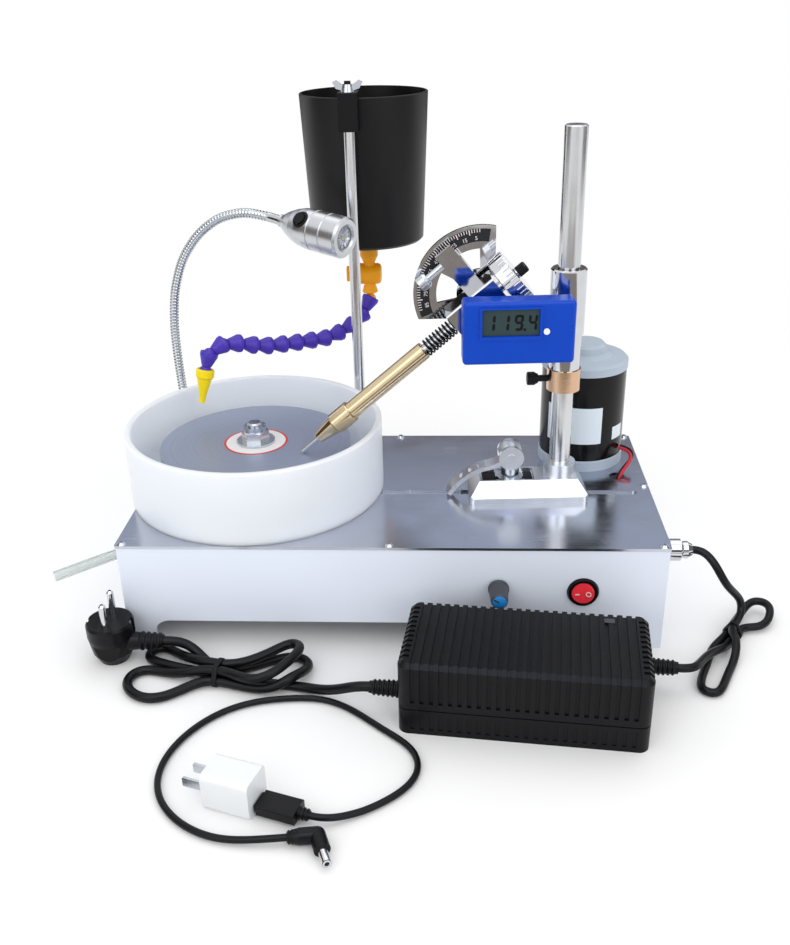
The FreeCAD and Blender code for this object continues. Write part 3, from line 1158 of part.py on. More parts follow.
def make_lamp():
    edges, radii = route_edges(NECK_WAY)
    core, wire = sweep(edges, NECK_TUBE_BORE)
    ribs = int(wire.Length / NECK_PITCH)
    step = wire.Length / (4 * ribs)
    outer = NECK_TUBE_R
    sizes = (outer - NECK_RIB, outer, outer, outer - NECK_RIB)
    rings = []
    side = (LAMP_BACK - NECK_WAY[0]).cross(Z_AXIS).normalize()
    lengths = [edge.Length for edge in wire.Edges]
    for k in range(4 * ribs + 1):
        reach = k * step
        index = 0
        while index < len(lengths) - 1 and reach > lengths[index]:
            reach -= lengths[index]
            index += 1
        edge = wire.Edges[index]
        place = edge.getParameterByLength(min(reach, lengths[index]))
        along = edge.tangentAt(place)
        across = side - along * side.dot(along)
        turn = FreeCAD.Rotation(across, along.cross(across), along, "ZXY")
        plain = k * step > wire.Length - NECK_SLEEVE
        ring = Part.makeCircle(outer if plain else sizes[k % 4])
        ring.Placement = FreeCAD.Placement(edge.valueAt(place), turn)
        rings.append(Part.Wire(ring))
    print("gooseneck length", round(wire.Length, 1), "ribs", ribs, "radii", [round(r, 1) for r in radii])
    neck = Part.makeLoft(rings, True, True).cut(core)

    def at_foot(z):
        return vec(LAMP_X, LAMP_Y, z)

    ferrule = revolve([(NECK_TUBE_BORE, PLATE_LOW - 8.0), (outer, PLATE_LOW - 8.0),
                       (outer, PLATE_LOW - 6.0),
                       (outer + 2.0, PLATE_LOW - 6.0), (outer + 2.0, PLATE_LOW - GAP),
                       (outer, PLATE_LOW - GAP),
                       (outer, BASE_H + GAP), (outer + 3.5, BASE_H + GAP), (outer + 3.5, BASE_H + 5.0),
                       (outer + 1.4, BASE_H + 6.0), (outer + 1.4, FERRULE_TOP),
                       (NECK_TUBE_BORE, FERRULE_TOP)], at_foot(0))
    save("lamp_gooseneck", neck, ferrule)

    tail = LAMP_TAIL_R
    gap = 1.0
    head = revolve([(0, gap), (tail, gap), (tail, 3.0), (0.58 * LAMP_R, 9.5), (0.8 * LAMP_R, 17.0),
                    (0.94 * LAMP_R, LAMP_CONE), (LAMP_R, LAMP_CONE + 7.0), (LAMP_R, LAMP_L - 27.6),
                    (LAMP_R - 0.6, LAMP_L - 27.0), (LAMP_R - 0.6, LAMP_L - 26.4), (LAMP_R, LAMP_L - 25.8),
                    (LAMP_R, LAMP_L - 15.6), (LAMP_R - 0.6, LAMP_L - 15.0), (LAMP_R - 0.6, LAMP_L - 14.4),
                    (LAMP_R, LAMP_L - 13.8), (LAMP_R, LAMP_L - 1.6), (LAMP_R - 1.6, LAMP_L),
                    (LENS_R + 1.4, LAMP_L), (LENS_R + FIT, LAMP_L - 1.4), (LENS_R + FIT, LAMP_L - 5.0),
                    (0, LAMP_L - 5.0)], LAMP_BACK, LAMP_WAY)
    lens = revolve([(0, LAMP_L - 5.0), (LENS_R, LAMP_L - 5.0), (LENS_R, LAMP_L - 2.2),
                    (0.6 * LENS_R, LAMP_L - 1.2),
                    (0, LAMP_L - 0.8)], LAMP_BACK, LAMP_WAY)
    middle = LAMP_BACK + LAMP_WAY * (LAMP_CONE + 5.0)
    out = Z_AXIS - LAMP_WAY * Z_AXIS.dot(LAMP_WAY)
    out = FreeCAD.Rotation(LAMP_WAY, LAMP_BUTTON_TURN).multVec(out).normalize()
    print("lamp button way", [round(c, 4) for c in out])
    hole = rod(LAMP_BUTTON_R + GAP, middle + out * (LAMP_R - 4.0), middle + out * (LAMP_R + 1.0))
    save("lamp_head", head.cut(hole))
    save("lamp_lens", lens)
    save("lamp_button", rod(LAMP_BUTTON_R, middle + out * (LAMP_R - 4.0 + BUTTON_TRAVEL + GAP),
                            middle + out * (LAMP_R + 1.4)))


# Power brick, its leads, the mains plug, the charger and the lamp lead
BRICK_LEFT_Y = -18.4
BRICK_RIGHT_Y = 28.0


def on_brick(shape):
    moved = shape.copy()
    moved.rotate(ORIGIN, Z_AXIS, BRICK_TURN)
    moved.translate(vec(BRICK_X, BRICK_Y, 0))
    return moved


def brick_point(x, y, z):
    turn = FreeCAD.Rotation(Z_AXIS, BRICK_TURN)
    return turn.multVec(vec(x, y, z)) + vec(BRICK_X, BRICK_Y, 0)


def brick_core(half, reach, depth, across):
    """The block inside the grooves, bevelled on its upper edges."""
    top = BRICK_H - depth
    slope = 0.8 * BRICK_BEVEL
    profile = [(-half, 0), (half, 0), (half, top - slope), (half - slope, top), (slope - half, top),
               (-half, top - slope)]
    along = across.cross(Z_AXIS)
    points = [across * a + vec(0, 0, z) - along * reach for a, z in profile]
    return Part.Face(Part.makePolygon(points + [points[0]])).extrude(along * (2.0 * reach))


def make_brick():
    half_l = BRICK_L / 2.0
    half_w = BRICK_W / 2.0
    whole = rounded_box(-half_l, half_l, -half_w, half_w, 0, BRICK_H, BRICK_ROUND, Z_AXIS)
    top_edges = []
    for edge in whole.Edges:
        if min(vertex.Z for vertex in edge.Vertexes) > BRICK_H - 0.1:
            top_edges.append(edge)
    whole = whole.makeChamfer(BRICK_BEVEL, top_edges)
    lower = whole.common(box(-half_l, half_l, -half_w, half_w, 0, BRICK_SPLIT))
    upper = whole.common(box(-half_l, half_l, -half_w, half_w, BRICK_SPLIT, BRICK_H))
    depth = 1.2
    pitch = (BRICK_L - 20.0) / BRICK_RIBS
    rows = [-half_l + 10.0 + pitch * k for k in range(BRICK_RIBS + 1)]
    grooves = []
    shallow = []
    for x in rows:
        grooves.append(box(x - 1.4, x + 1.4, -half_w, half_w, BRICK_SPLIT + 5.0, BRICK_H))
        for side in (-1.0, 1.0):
            edge = side * half_w
            shallow.append(box(x - 1.4, x + 1.4, min(edge, edge - side * 0.6), max(edge, edge - side * 0.6),
                               4.0, BRICK_SPLIT - 4.0))
    teeth = []
    for k in range(BRICK_TEETH):
        y = (k - (BRICK_TEETH - 1) / 2.0) * 5.6
        for near, far in ((-half_l, 7.0 - half_l), (half_l - 7.0, half_l)):
            teeth.append(box(near, far, y - 1.3, y + 1.3, BRICK_SPLIT + 8.0, BRICK_H))
    upper = upper.cut(Part.makeCompound(grooves).cut(brick_core(half_w - depth, half_l, depth, Y_AXIS)))
    upper = upper.cut(Part.makeCompound(teeth).cut(brick_core(half_l - depth, half_w, depth, X_AXIS)))
    inset = rounded_box(-half_l + 0.7, half_l - 0.7, -half_w + 0.7, half_w - 0.7, BRICK_SPLIT - 0.8,
                        BRICK_SPLIT,
                        BRICK_ROUND - 0.7, Z_AXIS)
    seam = box(-half_l, half_l, -half_w, half_w, BRICK_SPLIT - 0.8, BRICK_SPLIT).cut(inset)
    lower = lower.cut(Part.makeCompound(shallow)).cut(seam)
    seats = []
    reliefs = []
    for side, y in ((-1.0, BRICK_LEFT_Y), (1.0, BRICK_RIGHT_Y)):
        start = vec(side * (half_l - 3.0), y, RELIEF_Z)
        end = vec(side * (half_l + RELIEF_L - 4.0), y, RELIEF_Z)
        seats.append(rod(RELIEF_R, start, end))
        reliefs.append(on_brick(fuse(cone(RELIEF_R, RELIEF_R - 1.4, start, end),
                                     rod(RELIEF_R, start, start + X_AXIS * (6.0 * side)))))
    save("power_brick", on_brick(cut(upper, *seats)), on_brick(cut(lower, *seats)), reliefs[0], reliefs[1])


MAINS_TIE = vec(-121.0, -142.4, 0)
MAINS_TIE_WAY = vec(-0.98, 0.2, 0).normalize()
DC_TIE = vec(254.5, -84.0, 0)
DC_TIE_WAY = vec(-0.5, -0.866, 0).normalize()
TIE_HALF = 8.0
TIE_W = 4.0
TIE_T = 0.9


def tie_run(centre, way, offset, z):
    """The two points of a strand where it passes through a tie, in the tie's direction."""
    across = vec(-way.y, way.x, 0) * offset
    a = centre + across - way * TIE_HALF + vec(0, 0, z)
    b = centre + across + way * TIE_HALF + vec(0, 0, z)
    return [(a.x, a.y, a.z), (b.x, b.y, b.z)]


def tie_band(centre, way, low_half, mid_z, top_half, top_z):
    """A flat band round a bundle, wider at the foot."""
    across = vec(-way.y, way.x, 0)
    start = centre - way * (TIE_W / 2.0)

    def outline(grow):
        pairs = [(-low_half - grow, 1.0 - grow), (low_half + grow, 1.0 - grow),
                 (low_half + grow, mid_z + 0.5 * grow),
                 (top_half + 0.6 * grow, top_z + grow), (-top_half - 0.6 * grow, top_z + grow),
                 (-low_half - grow, mid_z + 0.5 * grow)]
        points = [start + across * n + vec(0, 0, z) for n, z in pairs]
        return Part.Face(Part.makePolygon(points + [points[0]]))

    return outline(TIE_T).cut(outline(0.0)).extrude(way * TIE_W)


def make_leads():
    dc_low = 4.4
    dc_high = 10.5
    top_run = tie_run(DC_TIE, DC_TIE_WAY, 0.0, dc_high)
    left_run = tie_run(DC_TIE, DC_TIE_WAY, -3.3, dc_low)
    right_run = tie_run(DC_TIE, DC_TIE_WAY, 3.3, dc_low)
    end = brick_point(BRICK_L / 2 + RELIEF_L - 4.0, BRICK_RIGHT_Y, RELIEF_Z)
    into = brick_point(BRICK_L / 2 + RELIEF_L + 5.0, BRICK_RIGHT_Y, RELIEF_Z)
    dc = [(PLUG_SHELL_END, INLET_Y, INLET_Z), (PLUG_SHELL_END + 7.0, INLET_Y, INLET_Z),
          (236.5, -67.5, 59.5),
          (241.5, -74.5, 52.0), (247.5, -75.5, 41.5), (254.5, -70.5, 32.5), (262.7, -64.6, 22.4),
          (264.5, -66.3, 15.6),
          (262.4, -71.4, 11.3)]
    dc += top_run
    dc += [(252.8, -99.0, 11.2), (251.0, -109.0, 7.0), (247.0, -118.5, 3.4), (242.0, -128.0, 3.1),
           (236.8, -138.5, 3.1),
           (230.0, -152.5, 3.1), (224.4, -154.5, 3.1), (219.0, -151.9, 3.1), (217.1, -146.2, 3.1),
           (222.0, -132.5, 3.1),
           (229.0, -118.5, 3.1),
           (234.6, -102.4, 3.6)]
    dc += reversed(left_run)
    dc += [(262.5, -65.5, 4.6), (270.0, -55.0, 7.0), (277.0, -47.5, 8.6), (284.0, -47.0, 9.0),
           (289.0, -52.0, 9.0),
           (289.0, -59.5, 8.0), (284.5, -70.0, 5.4), (276.5, -76.3, 4.6), (268.0, -75.8, 4.2)]
    dc += right_run
    dc += [(245.6, -101.2, 3.8), (239.6, -109.5, 8.2), (229.5, -119.5, 11.5), (221.5, -131.0, 14.5),
           (215.5, -142.0, 17.5),
           (into.x, into.y, into.z), (end.x, end.y, end.z)]
    save("dc_cord", cord("dc cord", dc, DC_D, 24.0))

    low = 4.9
    high = 11.5
    start = brick_point(-BRICK_L / 2 - RELIEF_L + 4.0, BRICK_LEFT_Y, RELIEF_Z)
    out = brick_point(-BRICK_L / 2 - RELIEF_L - 4.0, BRICK_LEFT_Y, RELIEF_Z)
    runs = [tie_run(MAINS_TIE, MAINS_TIE_WAY, n, z) for n, z in ((0.0, low), (-3.8, high), (3.8, high),
                                                                 (7.6, low), (-7.6, low))]
    mains = [(start.x, start.y, start.z), (out.x, out.y, out.z), (-31.0, -168.5, 13.5),
             (-44.0, -161.5, 7.0),
             (-57.0, -155.0, 4.0), (-70.0, -152.0, 3.6), (-84.0, -150.5, 3.6), (-98.0, -147.5, 4.2)]
    mains += runs[0]
    mains += [(-144.0, -136.5, 4.0), (-155.0, -132.4, 3.6), (-166.0, -128.5, 3.6), (-176.0, -124.3, 3.6),
              (-179.0, -118.6, 3.8),
              (-177.4, -112.3, 4.0), (-171.7, -109.1, 4.0), (-165.5, -110.7, 4.0), (-157.0, -118.2, 5.0),
              (-148.0, -127.3, 8.8),
              (-138.0, -134.2, 11.3)]
    mains += reversed(runs[1])
    mains += [(-98.0, -133.8, 11.6), (-86.0, -125.5, 12.6), (-76.0, -118.8, 14.6), (-69.0, -119.4, 16.4),
              (-64.5, -124.8, 17.6),
              (-64.5, -131.8, 18.5), (-69.5, -143.5, 18.6), (-78.5, -154.0, 16.5), (-89.0, -159.0, 13.6),
              (-101.0, -156.4, 12.6)]
    mains += runs[2]
    mains += [(-141.0, -145.0, 8.8), (-153.0, -142.0, 5.0), (-165.0, -138.2, 3.6), (-176.5, -135.2, 3.6),
              (-185.5, -141.0, 3.6),
              (-187.0, -152.5, 3.6), (-179.5, -163.5, 3.6), (-167.0, -169.5, 3.6), (-154.5, -166.5, 3.6),
              (-143.5, -157.5, 3.9)]
    mains += reversed(runs[3])
    mains += [(-101.0, -155.2, 4.2), (-88.0, -158.4, 4.6), (-76.0, -159.2, 8.4), (-66.0, -153.2, 12.6),
              (-58.5, -142.0, 9.0),
              (-57.5, -128.0, 4.2), (-66.0, -118.0, 3.6), (-79.0, -119.6, 3.6), (-92.5, -127.2, 3.6),
              (-104.0, -133.6, 4.2)]
    mains += runs[4]
    neck_y = PLUG_Y - 2.4
    neck_z = PLUG_H / 2.0
    neck_end = PLUG_X + 39.0
    mains += [(-135.0, -125.6, 4.9), (-143.0, -119.6, 9.4), (-151.0, -117.6, 14.6),
              (-158.5, neck_y, neck_z), (neck_end, neck_y, neck_z)]
    save("mains_cord", cord("mains cord", mains, MAINS_D, 28.0))

    body = revolve([(0, 0), (0.62 * PLUG_R, 0), (0.86 * PLUG_R, 8.0), (PLUG_R, 22.0),
                    (PLUG_R, PLUG_H - 2.0),
                    (PLUG_R - 1.0, PLUG_H), (0, PLUG_H)], vec(PLUG_X, PLUG_Y, 0))
    grip_y = PLUG_GRIP * PLUG_R
    for side in (-1, 1):
        edges = sorted((PLUG_Y + side * grip_y, PLUG_Y + side * 2.0 * PLUG_R))
        flat = box(PLUG_X - 2.0 * PLUG_R, PLUG_X + 2.0 * PLUG_R, edges[0], edges[1], -1.0, PLUG_FACE_LOW)
        ends = sorted((PLUG_X + side * (PLUG_R - PLUG_NOTCH), PLUG_X + side * 2.0 * PLUG_R))
        notch = box(ends[0], ends[1], PLUG_Y - PLUG_NOTCH_W / 2, PLUG_Y + PLUG_NOTCH_W / 2,
                    PLUG_H - PLUG_NOTCH_H, PLUG_H + 1.0)
        body = cut(body, flat, notch)
    neck = cone(7.5, 4.6, vec(PLUG_X + 10.0, neck_y, neck_z), vec(neck_end, neck_y, neck_z))
    pins = []
    for side in (-0.5, 0.5):
        foot = vec(PLUG_X, PLUG_Y + side * PIN_SPACING, PLUG_H)
        pins.append(revolve([(0, 0), (PIN_R, 0), (PIN_R, PIN_L - 1.4), (PIN_R - 1.4, PIN_L), (0, PIN_L)],
                            foot))
    save("mains_plug", fuse(body, neck), pins[0], pins[1])
    save("cord_ties", tie_band(MAINS_TIE, MAINS_TIE_WAY, 11.7, 6.6, 7.2, 15.5),
         tie_band(DC_TIE, DC_TIE_WAY, 6.9, 5.4, 3.2, 13.8))


CHARGER_PLUG_Z = 6.0
USB_L = 27.0
USB_RELIEF_L = 7.0
BARREL_R = 5.0


def charger_point(x, y, z):
    turn = FreeCAD.Rotation(Z_AXIS, CHARGER_TURN)
    return turn.multVec(vec(x, y, z)) + vec(CHARGER_X, CHARGER_Y, 0)


def on_charger(shape):
    moved = shape.copy()
    moved.rotate(ORIGIN, Z_AXIS, CHARGER_TURN)
    moved.translate(vec(CHARGER_X, CHARGER_Y, 0))
    return moved


def make_charger():
    half_l = CHARGER_L / 2.0
    half_w = CHARGER_W / 2.0
    body = rounded_box(-half_l, half_l, -half_w, half_w, 0, CHARGER_H, 3.5, X_AXIS)
    blades = [box(-half_l - 15.5, -half_l, y - 0.75, y + 0.75, 10.0, 16.3) for y in (-6.35, 6.35)]
    save("usb_charger", on_charger(body), on_charger(blades[0]), on_charger(blades[1]))
    near = half_l + GAP
    usb = rounded_box(near + 2.0, near + USB_L, -7.8, 7.8, CHARGER_PLUG_Z - 4.0, CHARGER_PLUG_Z + 4.0, 1.6,
                      X_AXIS)
    shell = box(near, near + 2.0, -6.0, 6.0, CHARGER_PLUG_Z - 2.25, CHARGER_PLUG_Z + 2.25)
    far = near + USB_L
    tail = cone(3.6, 2.8, vec(far, 0, CHARGER_PLUG_Z), vec(far + USB_RELIEF_L, 0, CHARGER_PLUG_Z))
    start = charger_point(far + USB_RELIEF_L, 0, CHARGER_PLUG_Z)
    out = charger_point(far + USB_RELIEF_L + 9.0, 0, CHARGER_PLUG_Z)

    corner = vec(-33.0, -291.6, BARREL_R)
    base = vec(-50.5, -293.9, BARREL_R)
    tip_way = vec(0.35, -0.937, 0).normalize()
    body_way = (corner - base).normalize()
    barrel = fuse(cone(3.2, BARREL_R, base, base + body_way * 7.0),
                  rod(BARREL_R, base + body_way * 7.0, corner),
                  Part.makeSphere(BARREL_R, corner), rod(BARREL_R, corner, corner + tip_way * 12.0),
                  rod(2.75, corner, corner + tip_way * 22.5))
    save("lamp_plugs", on_charger(fuse(usb, shell, tail)), barrel)

    z = 2.6
    lead_in = base - body_way * 11.0
    lead = [(start.x, start.y, start.z), (out.x, out.y, out.z), (-16.5, -274.5, 3.2), (-3.5, -267.3, z),
            (11.5, -256.0, z),
            (21.3, -243.6, z), (24.5, -230.0, z), (20.5, -216.0, z), (11.0, -205.5, z), (-1.5, -195.5, z),
            (-14.0, -184.0, z),
            (-28.0, -172.6, z), (-43.5, -165.3, z), (-60.0, -164.2, z), (-76.0, -166.0, z),
            (-92.0, -169.4, z),
            (-109.0, -177.8, z), (-124.0, -192.5, z), (-135.0, -211.0, z), (-140.6, -231.5, z),
            (-139.0, -252.0, z),
            (-130.0, -269.5, z), (-115.5, -283.5, z), (-98.5, -292.2, z), (-80.5, -295.8, 3.2),
            (lead_in.x, lead_in.y, lead_in.z), (base.x, base.y, base.z)]
    save("lamp_cord", cord("lamp cord", lead, LAMP_LEAD_D, 20.0))


os.makedirs("parts", exist_ok=True)
make_base()
make_bowl()
make_lap()
make_spindle()
make_drive()
make_controls()
make_inlet()
make_carriage()
make_cam()
make_collar()
make_head()
make_arm()
make_water()
make_lamp()
make_brick()
make_leads()
make_charger()
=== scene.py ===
"""Looks of a gem faceting machine with its water feed, lamp, supply and leads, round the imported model."""

import math

import bmesh
import bpy
import numpy as np
from mathutils import Matrix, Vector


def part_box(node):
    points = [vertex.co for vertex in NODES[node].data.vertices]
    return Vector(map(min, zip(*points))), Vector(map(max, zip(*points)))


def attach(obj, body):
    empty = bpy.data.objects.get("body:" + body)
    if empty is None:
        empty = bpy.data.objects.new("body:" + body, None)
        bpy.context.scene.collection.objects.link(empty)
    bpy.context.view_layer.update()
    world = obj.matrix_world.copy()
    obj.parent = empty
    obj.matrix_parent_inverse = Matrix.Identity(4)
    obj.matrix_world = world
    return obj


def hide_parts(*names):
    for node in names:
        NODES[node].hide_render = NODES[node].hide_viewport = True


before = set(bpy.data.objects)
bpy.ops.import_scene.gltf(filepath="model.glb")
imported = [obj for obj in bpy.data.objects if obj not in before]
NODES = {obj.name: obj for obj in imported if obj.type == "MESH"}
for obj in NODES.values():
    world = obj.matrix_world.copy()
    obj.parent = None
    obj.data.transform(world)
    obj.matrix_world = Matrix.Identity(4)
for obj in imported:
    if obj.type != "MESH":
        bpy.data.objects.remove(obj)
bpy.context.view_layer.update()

bl_info = {
    "name": "Gem faceting machine",
    "version": (1, 0, 0),
    "blender": (4, 5, 0),
    "location": "View3D > Sidebar > Facet",
    "description": "Finishes, leads and trim of a gem faceting machine",
    "category": "Object",
}

MM = 0.001
X_WAY = (1.0, 0.0, 0.0)
Z_WAY = (0.0, 0.0, 1.0)

# Places of the machine's parts, in millimetres, and their turns

LAP = (-110.0, 2.0, 123.0)
LAP_CENTRE = tuple(c * MM for c in LAP)
CLAMP = (90.0, -11.0)
CARRIAGE_TURN = math.radians(3.3)
PIVOT = (-22.7, 240.0)
ARM_LEAN = math.radians(40.0)
MOTOR = (152.5, 60.0)
MOTOR_EXIT_R = 34.7
KNOB = (78.5, 52.5)
SWITCH = (139.5, -99.0, 48.5)
BRICK = (94.0, -166.0)
BRICK_TURN = math.radians(-6.0)
PLUG = (-205.5, -116.0)
CHARGER = (-87.0, -262.0)
CHARGER_TURN = math.radians(-18.0)
BARREL_FOOT = (-50.5, -293.9, 5.0)
BARREL_CORNER = (-33.0, -291.6, 5.0)
LAMP_BACK = np.array((-88.5, 65.0, 283.0))
LAMP_FRONT = np.array((-34.5, 31.0, 276.2))
LAMP_UP = np.array((-0.3505, -0.6845, 0.6392))
# Where a lead leaves its brick, plug or charger: across it, and up.
BRICK_OUT = (28.0, 20.0)
BRICK_IN = (-18.4, 20.0)
PLUG_IN = (-118.4, 16.5)
CHARGER_OUT = (0.0, 6.0)


def linear(code):
    """The linear colour of an sRGB hex code."""
    channels = np.array([int(code[k:k + 2], 16) for k in (0, 2, 4)]) / 255.0
    low = channels / 12.92
    high = ((channels + 0.055) / 1.055) ** 2.4
    return tuple(np.where(channels <= 0.04045, low, high))


def per(size):
    """A texture scale whose features are about that many millimetres wide."""
    return 1.0 / (size * MM)


class MachineColours(bpy.types.PropertyGroup):
    """Colours of the painted, moulded and printed parts."""

    panel: bpy.props.FloatVectorProperty(
        name="Panels", description="White acrylic of the base", subtype="COLOR", default=linear("e6edfa"))
    bowl: bpy.props.FloatVectorProperty(
        name="Bowl", description="White pipe of the splash bowl", subtype="COLOR", default=linear("e7edfb"))
    display: bpy.props.FloatVectorProperty(
        name="Display case", description="Blue case of the angle display", subtype="COLOR",
        default=linear("0042ba"))
    glass: bpy.props.FloatVectorProperty(
        name="Display glass", description="Unlit liquid crystal", subtype="COLOR", default=linear("36474a"))
    hose: bpy.props.FloatVectorProperty(
        name="Hose", description="Links of the ball-jointed hose", subtype="COLOR",
        default=linear("4a34b0"))
    nozzle: bpy.props.FloatVectorProperty(
        name="Nozzle", description="Tip of the hose", subtype="COLOR", default=linear("ffe00e"))
    valve: bpy.props.FloatVectorProperty(
        name="Valve", description="Valve under the tank", subtype="COLOR", default=linear("ffa814"))
    rocker: bpy.props.FloatVectorProperty(
        name="Rocker", description="Rocker of the switch", subtype="COLOR", default=linear("f83a48"))
    knob_cap: bpy.props.FloatVectorProperty(
        name="Knob cap", description="Cap of the speed knob", subtype="COLOR", default=linear("2486d2"))
    label_ring: bpy.props.FloatVectorProperty(
        name="Label ring", description="Printed ring on the lap's label", subtype="COLOR",
        default=linear("d4362e"))
    brass: bpy.props.FloatVectorProperty(
        name="Brass", description="Handle and collet", subtype="COLOR", default=linear("dcc8a4"))


class MachineSizes(bpy.types.PropertyGroup):
    """Sizes of the trim and of the leads."""

    label: bpy.props.FloatProperty(
        name="Lap label", description="Radius of the paper label", unit="LENGTH", default=25.0 * MM)
    ring: bpy.props.FloatProperty(
        name="Label ring", description="Width of the printed ring", unit="LENGTH", default=1.7 * MM)
    digit: bpy.props.FloatProperty(
        name="Digit height", description="Height of the display's digits", unit="LENGTH", default=11.4 * MM)
    numeral: bpy.props.FloatProperty(
        name="Numeral height", description="Height of the quadrant's numerals", unit="LENGTH",
        default=2.9 * MM)
    supply_lead: bpy.props.FloatProperty(
        name="Supply lead", description="Diameter of the low-voltage lead", unit="LENGTH", default=6.0 * MM)
    mains_lead: bpy.props.FloatProperty(
        name="Mains lead", description="Diameter of the mains lead", unit="LENGTH", default=7.0 * MM)
    lamp_lead: bpy.props.FloatProperty(
        name="Lamp lead", description="Diameter of the lamp's lead", unit="LENGTH", default=4.4 * MM)
    motor_lead: bpy.props.FloatProperty(
        name="Motor lead", description="Diameter of each motor lead", unit="LENGTH", default=2.8 * MM)
    floor: bpy.props.FloatProperty(
        name="Floor", description="Side of the floor", unit="LENGTH", default=60.0)


# Materials

BUMP_HEIGHT = 0.1 * MM
MILK_REACH = 12.0 * MM


def opaque(colour):
    """A colour with full cover, as the nodes take it."""
    return tuple(colour) + (1.0,)


def shades(colour, contrast):
    """A darker and a lighter shade: the colour times one less and one plus the contrast, up to full white."""
    dark = opaque((1.0 - contrast) * c for c in colour)
    light = opaque(min(1.0, (1.0 + contrast) * c) for c in colour)
    return dark, light


def add(tree, kind, links=None, **settings):
    """Adds a node, sets its settings and fills its sockets with values or with other nodes' outputs."""
    made = tree.nodes.new(kind)
    for key, value in settings.items():
        setattr(made, key, value)
    for key, value in (links or {}).items():
        if isinstance(value, bpy.types.NodeSocket):
            tree.links.new(value, made.inputs[key])
        else:
            made.inputs[key].default_value = value
    return made


def begin(name):
    """A new material with an empty tree, and its Object coordinates."""
    material = bpy.data.materials.new(name)
    material.use_nodes = True
    tree = material.node_tree
    tree.nodes.clear()
    return material, tree, add(tree, "ShaderNodeTexCoord").outputs["Object"]


def surface(tree, sockets):
    """Ends a material with its surface shader, whose sockets take values or other nodes' outputs."""
    shader = add(tree, "ShaderNodeBsdfPrincipled", sockets)
    add(tree, "ShaderNodeOutputMaterial", {"Surface": shader.outputs["BSDF"]})


def spindle_distance(tree, place):
    """The distance of each point from the lap's spindle: the length of its offset without the height."""
    about = add(tree, "ShaderNodeMapping", {"Vector": place, "Location": tuple(-c for c in LAP_CENTRE)})
    flat = add(tree, "ShaderNodeVectorMath", {0: about.outputs[0], 1: (1.0, 1.0, 0.0)},
               operation="MULTIPLY")
    return add(tree, "ShaderNodeVectorMath", {0: flat.outputs[0]}, operation="LENGTH").outputs["Value"]


def moulded(name, colour, rough, grain, depth, cloud, contrast, gloss=0.4, milk=0.0):
    """Injection-moulded plastic: a fine spark-eroded grain in the gloss, and a slow drift of tone.

    grain and cloud are the sizes of the grain and of the drift in millimetres. depth is the grain's strength.
    milk is the share of light that goes into the plastic and comes out again some millimetres away.
    """
    material, tree, place = begin(name)
    drift = add(tree, "ShaderNodeTexNoise", {"Vector": place, "Scale": per(cloud),
                                             "Detail": 3.0}).outputs["Fac"]
    dark, light = shades(colour, contrast)
    tone = add(tree, "ShaderNodeMix", {"Factor": drift, 6: dark, 7: light}, data_type="RGBA")
    pores = add(tree, "ShaderNodeTexNoise", {"Vector": place, "Scale": per(grain),
                                             "Detail": 2.0}).outputs["Fac"]
    satin = add(tree, "ShaderNodeMapRange", {"Value": drift, 3: rough - 0.05, 4: rough + 0.07})
    bump = add(tree, "ShaderNodeBump", {"Height": pores, "Strength": depth, "Distance": BUMP_HEIGHT})
    surface(tree, {"Base Color": tone.outputs[2], "Roughness": satin.outputs[0],
                   "Normal": bump.outputs["Normal"], "IOR": 1.5, "Specular IOR Level": gloss,
                   "Subsurface Weight": milk, "Subsurface Radius": (1.0, 1.0, 1.0),
                   "Subsurface Scale": MILK_REACH})
    return material


def lined_metal(name, colour, rough, stretch, depth=0.06, spread=0.1, contrast=0.1, turn=(0.0, 0.0, 0.0)):
    """Metal with tool lines: noise that is long along the tool's way and, across it, as fine as its marks.

    stretch gives the size of a mark in millimetres along each axis after the turn, in radians.
    """
    material, tree, place = begin(name)
    ways = add(tree, "ShaderNodeMapping", {"Vector": place, "Rotation": turn}, vector_type="TEXTURE")
    size = add(tree, "ShaderNodeMapping", {"Vector": ways.outputs[0],
                                           "Scale": tuple(per(s) for s in stretch)})
    marks = {"Vector": size.outputs[0], "Scale": 1.0, "Detail": 4.0}
    lines = add(tree, "ShaderNodeTexNoise", marks).outputs["Fac"]
    cloud = add(tree, "ShaderNodeTexNoise", {"Vector": place, "Scale": per(30.0),
                                             "Detail": 3.0}).outputs["Fac"]
    dark, light = shades(colour, contrast)
    tone = add(tree, "ShaderNodeMix", {"Factor": lines, 6: dark, 7: light}, data_type="RGBA")
    both = add(tree, "ShaderNodeMath", {0: lines, 1: cloud}, operation="ADD").outputs[0]
    low, high = max(0.02, rough - spread), rough + spread
    gloss = add(tree, "ShaderNodeMapRange", {"Value": both, 1: 0.6, 2: 1.4, 3: low, 4: high})
    bump = add(tree, "ShaderNodeBump", {"Height": lines, "Strength": depth, "Distance": BUMP_HEIGHT})
    surface(tree, {"Metallic": 1.0, "Base Color": tone.outputs[2], "Roughness": gloss.outputs[0],
                   "Normal": bump.outputs["Normal"]})
    return material


